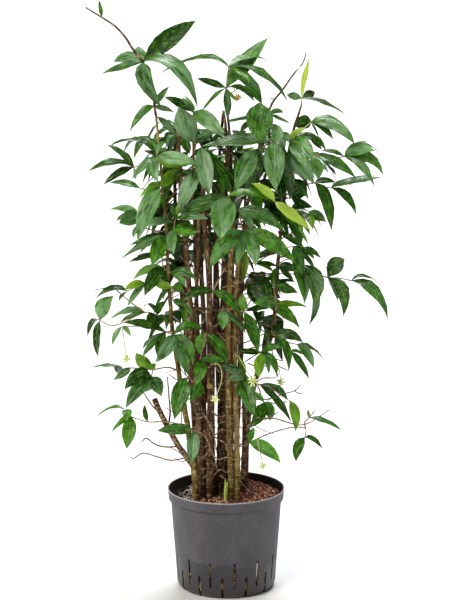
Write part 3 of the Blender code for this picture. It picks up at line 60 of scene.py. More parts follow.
def addNode(tree, kind, feeds, out=0, stops=(), **settings):
    node = tree.nodes.new("ShaderNode" + kind)
    for key, value in settings.items():
        setattr(node, key, value)
    feed(node, feeds)
    for k, (place, shade) in enumerate(stops):
        band = node.color_ramp.elements
        element = band[k] if k < len(band) else band.new(place)
        element.position, element.color = place, linear(shade)
    return node.outputs[out]


def patches(tree, place, size, detail, **more):     # noise in lumps of this size in metres
    vector = addNode(tree, "VectorMath", {0: place, 1: [1 / side for side in size]},
                     operation="MULTIPLY")
    return addNode(tree, "TexNoise", {"Vector": vector, "Scale": 1.0, "Detail": detail, **more})


def newMaterial(name, **fixed):     # fixed numbers go straight onto the shader's sockets
    material = bpy.data.materials.new(name)
    material.use_nodes = True
    shader = material.node_tree.nodes["Principled BSDF"]
    for key, value in fixed.items():
        shader.inputs[key.replace("_", " ")].default_value = value
    return material, material.node_tree, shader


def deselectAll():
    if bpy.context.object and bpy.context.object.mode != "OBJECT":
        bpy.ops.object.mode_set(mode="OBJECT")
    bpy.ops.object.select_all(action="DESELECT")


def onlySelect(thing):
    deselectAll()
    thing.select_set(True)
    bpy.context.view_layer.objects.active = thing


def edit(choice=None):      # into edit mode, with "SELECT" or "DESELECT" of all, if given
    bpy.ops.object.mode_set(mode="EDIT")
    if choice:
        bpy.ops.mesh.select_all(action=choice)


def leaveEdit():
    bpy.ops.object.mode_set(mode="OBJECT")


def selectCorners(thing, chosen):       # and the edges between them, but no face
    onlySelect(thing)
    for corner in thing.data.vertices:
        corner.select = chosen(corner.co)
    for edge in thing.data.edges:
        edge.select = all(thing.data.vertices[k].select for k in edge.vertices)
    for face in thing.data.polygons:
        face.select = False


def joined(name, things):
    onlySelect(things[0])
    for thing in things:
        thing.select_set(True)
    if len(things) > 1:
        bpy.ops.object.join()
    whole = bpy.context.view_layer.objects.active
    whole.name = whole.data.name = name
    return whole


def settle(piece, slot, *nodes):        # ride on the one body, and stand for its CAD nodes
    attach(piece, "root")
    if nodes:
        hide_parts(*nodes)


def setAttribute(mesh, name, values):
    layer = mesh.attributes.get(name) or mesh.attributes.new(name, "FLOAT_COLOR", "POINT")
    layer.data.foreach_set("color", np.asarray(values, dtype=np.float32).ravel())


def recalcNormals(thing):
    onlySelect(thing)
    edit("SELECT")
    bpy.ops.mesh.remove_doubles(threshold=0.00002)
    bpy.ops.mesh.normals_make_consistent(inside=False)
    leaveEdit()


def takenShape(thing):      # a modelled shape's corners and faces, to lay out many times
    corners = np.array([tuple(v.co) for v in thing.data.vertices])
    faces = [tuple(p.vertices) for p in thing.data.polygons]
    bpy.data.objects.remove(thing)
    return corners, faces


def pieceOf(name, shapes, material):        # one piece from many (corners, faces)
    faces, count = [], 0
    for corners, sides in shapes:
        faces += [tuple(v + count for v in side) for side in sides]
        count += len(corners)
    mesh = bpy.data.meshes.new(name)
    mesh.from_pydata(np.vstack([corners for corners, _ in shapes]).tolist(), [], faces)
    piece = bpy.data.objects.new(name, mesh)
    bpy.context.scene.collection.objects.link(piece)
    mesh.materials.append(material)
    mesh.shade_smooth()
    return piece


def leafCuticle():
    # living leaf under a waxy cuticle: a soft gloss that greys the green where it catches the
    # light, dark blotches, pale streaks and silver bloom (partly painted sheen) along the parallel
    # veins, gold flecks
    material, tree, shader = newMaterial("waxyLeafCuticle", IOR=1.42, Specular_IOR_Level=0.36)
    own = addNode(tree, "Attribute", {}, out="Alpha", attribute_name="leafTone")
    age, silver, dust = addNode(tree, "SeparateColor", {
        "Color": own.node.outputs["Color"]}).node.outputs
    blade = addNode(tree, "UVMap", {}, uv_map="blade")
    across, along, _ = addNode(tree, "SeparateXYZ", {0: blade}).node.outputs
    own = addNode(tree, "Math", {0: own, 1: 37.0}, operation="MULTIPLY")
    spot = addNode(tree, "CombineXYZ", {"X": across, "Y": along, "Z": own})
    body = addNode(tree, "ValToRGB", {"Fac": age}, stops=[
        (0.0, "#b9d654"), (0.2, "#8fbc2e"), (0.4, "#5da01c"), (0.6, "#3a7a13"),
        (0.8, "#1d4c05"), (1.0, "#0b2302")])
    middle = addNode(tree, "Math", {0: across}, operation="ABSOLUTE")
    grid = addNode(tree, "VectorMath", {0: spot, 1: (310, 300, 1)}, operation="MULTIPLY")
    dots = addNode(tree, "TexVoronoi", {"Vector": grid, "Scale": 1.0})
    blotch, old, streak, bloomSheen, fleck, patch, rib, groove = [addNode(tree, "MapRange", {
        "Value": value, "From Min": start, "From Max": full, "To Min": least, "To Max": most})
        for value, start, full, least, most in (
            (patches(tree, spot, (0.009, 0.015, 1), 3.0), 0.38, 0.62, 0, 1),
            (age, 0.05, 0.45, 0.06, 0.72),      # an older leaf is more blotched
            (patches(tree, spot, (0.0040, 0.0100, 1), 3.0), 0.50, 0.68, 0, 0.42),
            (patches(tree, spot, (0.0095, 0.036, 1), 2.2), 0.37, 0.62, 0.06, 1),
            (dots, 0.38, 0.16, 0, 1),
            (patches(tree, spot, (0.016, 0.026, 1), 2.0), 0.42, 0.56, 0, 0.85),
            (middle, 0.0010, 0.0003, 0, 0.22), (middle, 0, 0.0016, 0, 1.6))]
    fleck = addNode(tree, "Math", {0: fleck, 1: dust}, operation="MULTIPLY")
    dark, bloomSheen, fleck = [addNode(tree, "Math", {0: a, 1: b}, operation="MULTIPLY")
                          for a, b in ((blotch, old), (silver, bloomSheen), (fleck, patch))]
    # bloom: a pale grey-green silver bloom, partly a painted sheen
    for share, shade in ((dark, "#0a2001"), (streak, "#78a83c"), (bloomSheen, "#86ae7e"),
                         (fleck, "#a9c886"), (rib, "#7ea25a")):
        body = addNode(tree, "Mix", {0: share, 6: body, 7: shade}, out=2, data_type="RGBA")
    sheen = addNode(tree, "MapRange", {"Value": blotch, "To Min": 0.21, "To Max": 0.34})
    swell = addNode(tree, "Math", {0: patches(tree, spot, (0.010, 0.022, 1), 2.0), 1: 4.0,
                                   2: groove}, operation="MULTIPLY_ADD")
    veins = addNode(tree, "Math", {0: patches(tree, spot, (0.0018, 0.040, 1), 1.0), 1: swell})
    ridges = addNode(tree, "Bump", {"Height": veins, "Strength": 0.7, "Distance": 0.0005})
    feed(shader, {"Base Color": body, "Roughness": sheen, "Normal": ridges})
    return material


def twigBark():
    # thin living twig: smooth rind, olive where young, brown and pink where older, pale nodes
    material, tree, shader = newMaterial("twigRind", Roughness=0.62, IOR=1.45,
                                         Specular_IOR_Level=0.3)
    place = addNode(tree, "TexCoord", {}, out="Object")
    knot, tone, _ = addNode(tree, "SeparateColor", {"Color": addNode(
        tree, "Attribute", {}, attribute_name="bark")}).node.outputs
    body = addNode(tree, "ValToRGB", {"Fac": tone}, stops=[
        (0.0, "#3b2118"), (0.2, "#6d4a3a"), (0.4, "#8d6f50"), (0.55, "#86733f"),
        (0.8, "#8a9748"), (1.0, "#b9c76c")])
    grain = addNode(tree, "TexNoise", {"Vector": place, "Scale": 260.0, "Detail": 3.0})
    patch = addNode(tree, "MapRange", {"Value": grain, "From Min": 0.42, "From Max": 0.7,
                                       "To Max": 0.24})
    for share, shade in ((patch, "#a38468"), (knot, "#b9a384")):
        body = addNode(tree, "Mix", {0: share, 6: body, 7: shade}, out=2, data_type="RGBA")
    rough = addNode(tree, "Bump", {"Height": grain, "Strength": 0.5, "Distance": 0.0004})
    feed(shader, {"Base Color": body, "Normal": rough})
    return material


def caneBark(name, stops, ringShade, mossShade, moss):
    # old cane: thin corky rind, dark lengthwise cracks, broken pale leaf-scar rings, and a film
    # of green algae low down, where it is damp
    material, tree, shader = newMaterial(name, Roughness=0.78, IOR=1.45,
                                         Specular_IOR_Level=0.25)
    place = addNode(tree, "TexCoord", {}, out="Object")
    ring, cane, height = addNode(tree, "SeparateColor", {"Color": addNode(
        tree, "Attribute", {}, attribute_name="bark")}).node.outputs

    blotch = patches(tree, place, (0.012, 0.012, 0.040), 4.0, Roughness=0.62)
    mixed = addNode(tree, "Math", {0: blotch, 1: 1.2, 2: -0.28}, operation="MULTIPLY_ADD")
    mixed = addNode(tree, "Math", {0: cane, 1: 0.36, 2: mixed}, operation="MULTIPLY_ADD")
    body = addNode(tree, "ValToRGB", {"Fac": mixed}, stops=stops)
    damp = addNode(tree, "MapRange", {"Value": height, "From Min": 0.44, "From Max": 0.24})
    film, cracks, broken, scurfHighlight = [addNode(tree, "MapRange", {
        "Value": patches(tree, place, (wide, wide, long), detail, Roughness=0.62),
        "From Min": start, "From Max": full, "To Max": most})
        for wide, long, detail, start, full, most in (
            (0.016, 0.050, 3.0, 0.46, 0.62, moss), (0.0022, 0.030, 2.0, 0.50, 0.66, 0.75),
            (0.006, 0.006, 2.0, 0.42, 0.56, 0.9), (0.0045, 0.009, 3.0, 0.56, 0.66, 0.65))]
    film, broken = [addNode(tree, "Math", {0: a, 1: b}, operation="MULTIPLY")
                    for a, b in ((damp, film), (ring, broken))]
    # scurf: pale corky scurf, made brighter and wider to stand for painted highlights on the rind
    for share, shade in ((film, mossShade), (cracks, "#170d08"), (broken, ringShade),
                         (scurfHighlight, "#c3b08a")):
        body = addNode(tree, "Mix", {0: share, 6: body, 7: shade}, out=2, data_type="RGBA")
    relief = addNode(tree, "Math", {0: cracks, 1: -0.6, 2: blotch}, operation="MULTIPLY_ADD")
    rough = addNode(tree, "Bump", {"Height": relief, "Strength": 0.8, "Distance": 0.0016})
    feed(shader, {"Base Color": body, "Normal": rough})
    return material


potMarks = {        # heights in metres of what shows on the plastic, and how far marks reach
    "waterLine": 0.0485, "waterEdge": 0.0016, "waterSlope": -0.10, "silt": (0.052, 0.008),
    # shadow and band: where the painted shadow line under the band starts and fades
    "siltSide": (-0.06, 0.07), "shadow": (0.1690, 0.1712), "band": (0.1738, 0.1722),
    # lip: a pale band round the top of the lip, a painted highlight
    "lip": (0.1898, 0.1912),
}


def mouldedPolypropylene():
    # culture pot: moulded charcoal polypropylene, matt and dusty, darker where water has stood,
    # brown silt low at the right, a painted shadow line under the band and a painted highlight
    # along the lip
    material, tree, shader = newMaterial("mouldedPolypropylene", IOR=1.49)
    place = addNode(tree, "TexCoord", {}, out="Object")
    x, _, z = addNode(tree, "SeparateXYZ", {0: place}).node.outputs

    def grime(wide, tall, detail):
        return patches(tree, place, (wide, wide, tall), detail)

    dust = addNode(tree, "Math", {0: grime(0.040, 0.060, 2.0), 1: 0.38}, operation="MULTIPLY")
    dusty = addNode(tree, "Math", {0: grime(0.0022, 0.0028, 3.0), 1: 0.62, 2: dust},
                    operation="MULTIPLY_ADD")
    body = addNode(tree, "ValToRGB", {"Fac": dusty}, stops=[
        (0.36, "#3a383f"), (0.50, "#47444b"), (0.66, "#56535a")])
    level = addNode(tree, "Math", {0: grime(0.030, 0.2, 2.0), 1: 0.030,
                                   2: potMarks["waterLine"]}, operation="MULTIPLY_ADD")
    level = addNode(tree, "Math", {0: x, 1: potMarks["waterSlope"], 2: level},
                    operation="MULTIPLY_ADD")
    above = addNode(tree, "Math", {0: z, 1: level}, operation="SUBTRACT")
    edge = potMarks["waterEdge"]
    wet, silt, low, side, scuffs, shadow, band, lip = [addNode(tree, "MapRange", {
        "Value": value, "From Min": start, "From Max": full, "To Min": least, "To Max": most})
        for value, (start, full), least, most in (
            (above, (edge, -edge), 0, 1), (grime(0.013, 0.016, 3.0), (0.40, 0.62), 0, 0.8),
            (z, potMarks["silt"], 0, 1), (x, potMarks["siltSide"], 0.25, 1),
            (grime(0.0035, 0.006, 3.0), (0.62, 0.80), 0, 0.3), (z, potMarks["shadow"], 0, 1),
            (z, potMarks["band"], 0, 0.75), (z, potMarks["lip"], 0, 0.85))]
    silt = addNode(tree, "Math", {0: silt, 1: side}, operation="MULTIPLY")
    # the shadow and band masks together give the painted shadow line under the band
    silt, bandShadow, film = [addNode(tree, "Math", {0: a, 1: b}, operation="MULTIPLY")
                         for a, b in ((silt, low), (shadow, band), (wet, 0.75))]
    # the lip coat is a painted highlight along the rim
    for share, shade in ((film, "#2f2e33"), (silt, "#453626"), (scuffs, "#6b696e"),
                         (bandShadow, "#242327"), (lip, "#b4b3b5")):
        body = addNode(tree, "Mix", {0: share, 6: body, 7: shade}, out=2, data_type="RGBA")
    gloss = addNode(tree, "MapRange", {"Value": wet, "To Min": 0.58, "To Max": 0.42})
    rough = addNode(tree, "Bump", {"Height": grime(0.0012, 0.0012, 2.0), "Strength": 0.4,
                                   "Distance": 0.0003})
    feed(shader, {"Base Color": body, "Roughness": gloss, "Normal": rough})
    return material


def dampShadedPolypropylene():
    # the same plastic inside the pot: damp, and painted near black for the shade inside it, a few
    # lime and soil spots on it
    material, tree, shader = newMaterial("dampShadedPolypropylene", Roughness=0.42, IOR=1.49)
    place = addNode(tree, "TexCoord", {}, out="Object")
    grain = addNode(tree, "TexNoise", {"Vector": place, "Scale": 240.0, "Detail": 3.0})
    body = addNode(tree, "ValToRGB", {"Fac": grain}, stops=[
        (0.35, "#111116"), (0.6, "#1e1d22"), (0.70, "#39352f"), (0.80, "#8b8276")])
    feed(shader, {"Base Color": body})
    return material


def expandedClay():
    # expanded clay pebbles: fired and porous, dusty brick brown to buff, each one different
    material, tree, shader = newMaterial("expandedClay", Roughness=0.93, IOR=1.5)
    place = addNode(tree, "TexCoord", {}, out="Object")
    tone = addNode(tree, "Attribute", {}, attribute_name="pebble")
    body = addNode(tree, "ValToRGB", {"Fac": tone}, stops=[
        (0.0, "#1f0d08"), (0.3, "#47231a"), (0.6, "#6d392a"), (0.85, "#975e47"),
        (0.94, "#bd8f6c"), (1.0, "#e2cba8")])
    pores = addNode(tree, "TexNoise", {"Vector": place, "Scale": 620.0, "Detail": 3.0})
    dark = addNode(tree, "MapRange", {"Value": pores, "From Min": 0.50, "From Max": 0.70,
                                      "To Max": 0.6})
    rough = addNode(tree, "Bump", {"Height": pores, "Strength": 0.8, "Distance": 0.0008})
    body = addNode(tree, "Mix", {0: dark, 6: body, 7: "#24130e"}, out=2, data_type="RGBA")
    feed(shader, {"Base Color": body, "Normal": rough})
    return material


def softTissue(name, shades, rough, scale=300.0):
    # soft plant tissue of one colour family, mottled at the size of its own patches
    material, tree, shader = newMaterial(name, Roughness=rough, IOR=1.42)
    place = addNode(tree, "TexCoord", {}, out="Object")
    grain = addNode(tree, "TexNoise", {"Vector": place, "Scale": scale, "Detail": 2.0})
    body = addNode(tree, "ValToRGB", {"Fac": grain}, stops=list(zip((0.3, 0.5, 0.7), shades)))
    bumps = addNode(tree, "Bump", {"Height": grain, "Strength": 0.4, "Distance": 0.0003})
    feed(shader, {"Base Color": body, "Normal": bumps})
    return material


leafSkin = leafCuticle()
twigSkin = twigBark()
brownBark = caneBark("brownCaneBark", [
    (0.0, "#160805"), (0.25, "#331a0e"), (0.5, "#573721"), (0.72, "#876744"),
    (1.0, "#c8a97c")], "#c6ae88", "#55461d", 0.4)
goldenBark = caneBark("oliveCaneBark", [
    (0.0, "#201408"), (0.25, "#46340f"), (0.5, "#705a26"), (0.75, "#9f884a"),
    (1.0, "#cfb980")], "#d3c294", "#75701f", 0.7)
potPlastic = mouldedPolypropylene()
potLining = dampShadedPolypropylene()
clay = expandedClay()
petalTissue = softTissue("flowerTissue", ("#ccd978", "#e6ee9e", "#f7fad2"), 0.6, 400.0)
shootRind = softTissue("youngShootRind", ("#8fae35", "#b9cc58", "#d9e28f"), 0.5, 200.0)
rootTissue = softTissue("rootTissue", ("#82692a", "#bb9a48", "#e0c986"), 0.7)
whiteRoot = softTissue("freshRoot", ("#cfc6ac", "#e9e2ca", "#f6f2e2"), 0.6)
driedTissue = softTissue("driedTissue", ("#80602f", "#ba9148", "#ddbd72"), 0.75)
print("materials made")


# the planting plan: points (x, z, depth y) in centimetres on the front elevation, each slid
# along its sight line to its depth
caneRoutes = {      # a group's canes: route, then the foot's and the top's radius in cm
    "left_cane": [
        ([(-5.6, 12, -3.2), (-5.7, 18, -3.2), (-6.1, 23, -3), (-7, 29.5, -2.8), (-8, 36, -2.5),
          (-9, 43, -2.5), (-10.1, 51, -2.5), (-10.6, 60, -2.5), (-11.1, 70, -3), (-11.8, 79, -3),
          (-12.7, 89.5, -2)], 0.78, 0.22)],
    "left_pair": [
        ([(-4.4, 12, -1), (-4.5, 19, -1), (-4.7, 25, -1), (-5.4, 36, -1), (-6.3, 48, -1.2),
          (-7, 60, -1.2), (-7.9, 72, -1), (-8.5, 82, 0), (-8.7, 87, 0)], 0.8, 0.35),
        ([(-4.7, 12, 0), (-5.3, 20, 1.1), (-5.9, 30, 2.4), (-6.8, 42, 3.2), (-8, 54, 4.2),
          (-8.9, 66, 4.7), (-9.4, 77, 4.7), (-9.2, 87.5, 4.2)], 0.55, 0.3)],
    "middle_canes": [
        ([(-3, 12, -1.9), (-3.1, 20, -1.9), (-3.1, 28, -1.8), (-2.95, 38, -1.8), (-3.1, 50, -1.5),
          (-3.2, 60, -1.2), (-4, 71, -0.8), (-4.3, 80, -0.4), (-4.4, 83, -0.4)], 0.74, 0.42),
        ([(-3, 12, -0.8), (-3.5, 20, 0.6), (-3.9, 30, 1.4), (-4.3, 42, 1.7), (-4.3, 54, 1.7),
          (-4.9, 62, 1.7), (-5.6, 68, 1.7), (-6.1, 76, 1.6), (-5.9, 82.5, 1.4), (-6, 89.6, 1.2)],
         0.55, 0.24),
        ([(-3.3, 12, 0.3), (-4, 20, 0.5), (-4.7, 30, 1.2), (-5.3, 40, 1), (-5.6, 50, 0.6),
          (-5.4, 58, 0.3), (-5, 66, 0.1), (-4.9, 74, 0.2)], 0.46, 0.34)],
    "dark_canes": [
        ([(-1.95, 12, -0.3), (-2.2, 20, 0), (-2.45, 30, 0.2), (-2.35, 40, 0.2), (-2.2, 52, 0.2),
          (-2.1, 64, 0.3), (-2, 77, 0.5)], 0.45, 0.3),
        ([(-1.1, 12, -0.1), (-0.95, 20, 0.3), (-0.8, 30, 0.6), (-0.8, 40, 0.9), (-0.7, 52, 1.1),
          (-0.4, 64, 1.1), (0.1, 76, 0.8), (0.1, 86, 0.4), (-0.45, 90.6, 0.3)], 0.66, 0.4),
        ([(-1.55, 12, 0.3), (-1.65, 20, 0.5), (-1.45, 26, 0.7), (-1.3, 32, 0.9), (-1.25, 40, 1.1),
          (-1.3, 50, 1.4), (-1.5, 60, 1.4), (-1.7, 68, 1.4)], 0.45, 0.36)],
    "golden_pair": [
        ([(0.9, 12, -3.2), (0.85, 20, -3.3), (0.62, 28, -3.1), (0.48, 36, -2.9), (0.4, 46, -2.7),
          (0.7, 58, -2.4), (1.15, 68, -2.2), (1.2, 73.3, -2.4)], 0.66, 0.4),
        ([(1.85, 12, -3), (2.1, 20, -3), (2.05, 28, -2.8), (1.85, 36, -2.4), (1.6, 46, -2),
          (1.9, 58, -2), (2.95, 67, -2.4)], 0.68, 0.38)],
    "right_cane": [
        ([(3.3, 12, 4.4), (3.6, 20, 4.6), (4, 30, 4.4), (4.9, 37, 3.6), (6.3, 43, 2.6),
          (8.2, 47.5, 1.6), (9, 52, 1.2), (9.5, 60, 1), (10.1, 68, 1), (10.9, 76, 1),
          (11.6, 83, 0.6), (12.4, 87, 0), (13.1, 89.2, -0.4), (13.8, 91.6, -0.6)], 0.62, 0.19)],
    "dark_cane": [
        ([(2.7, 12, 2), (3.2, 20, 2.2), (3.5, 30, 2.2), (3.3, 38, 2), (2.6, 47, 2.2),
          (2.4, 58, 2.4), (3.2, 68, 2.4), (4.9, 78, 2.2), (6.9, 87, 1.6), (8.3, 91.6, 1),
          (10.1, 94, 0.4), (12.4, 97.3, 0), (14.1, 99.4, 0), (14.6, 101.2, 0)], 0.72, 0.14)],
    "centre_pair": [
        ([(0.6, 12, 1.9), (0.85, 20, 2), (1.1, 30, 2.2), (1.1, 42, 2.5), (1.1, 54, 2.7),
          (1.3, 66, 2.6), (1.1, 78, 2), (0.6, 87, 1.3), (0.1, 94.2, 0.4)], 0.5, 0.22),
        ([(0.3, 12, 2.6), (0.1, 20, 3), (0, 30, 3.3), (0, 42, 3.5), (0.15, 54, 3.6),
          (0.3, 66, 3.5), (0.5, 72, 3.4)], 0.42, 0.32)],
    "rear_right_cane": [
        ([(1.5, 12, 4.6), (1.7, 20, 5), (2.2, 32, 5.4), (2.6, 44, 5.6), (2.8, 56, 5.4), (3, 63, 5),
          (3.6, 68.4, 4.6), (5.2, 72, 4), (7.2, 75, 3.2), (8.5, 79.5, 2), (9.2, 84.3, 0.6)],
         0.55, 0.28)],
    "rear_pair": [
        ([(-0.9, 12, 4.6), (-0.8, 20, 5), (-0.4, 34, 6.6), (0, 50, 8.6), (-0.6, 66, 10.2),
          (-1.2, 80, 11), (-0.5, 90, 11)], 0.55, 0.28),
        ([(-0.3, 12, 5.3), (0.2, 20, 6.2), (1.2, 34, 8.4), (2, 50, 10.4), (2.7, 62, 11.4),
          (5, 72, 12.2), (7.6, 80, 12.6), (8, 89, 12.4)], 0.5, 0.26)],
    "rear_left_cane": [
        ([(-2.6, 12, 3.4), (-2.9, 20, 4), (-4.2, 34, 6.4), (-6, 50, 8.8), (-7.6, 66, 10.6),
          (-8.6, 80, 11.6), (-8.6, 90, 11.4)], 0.5, 0.28)],
}

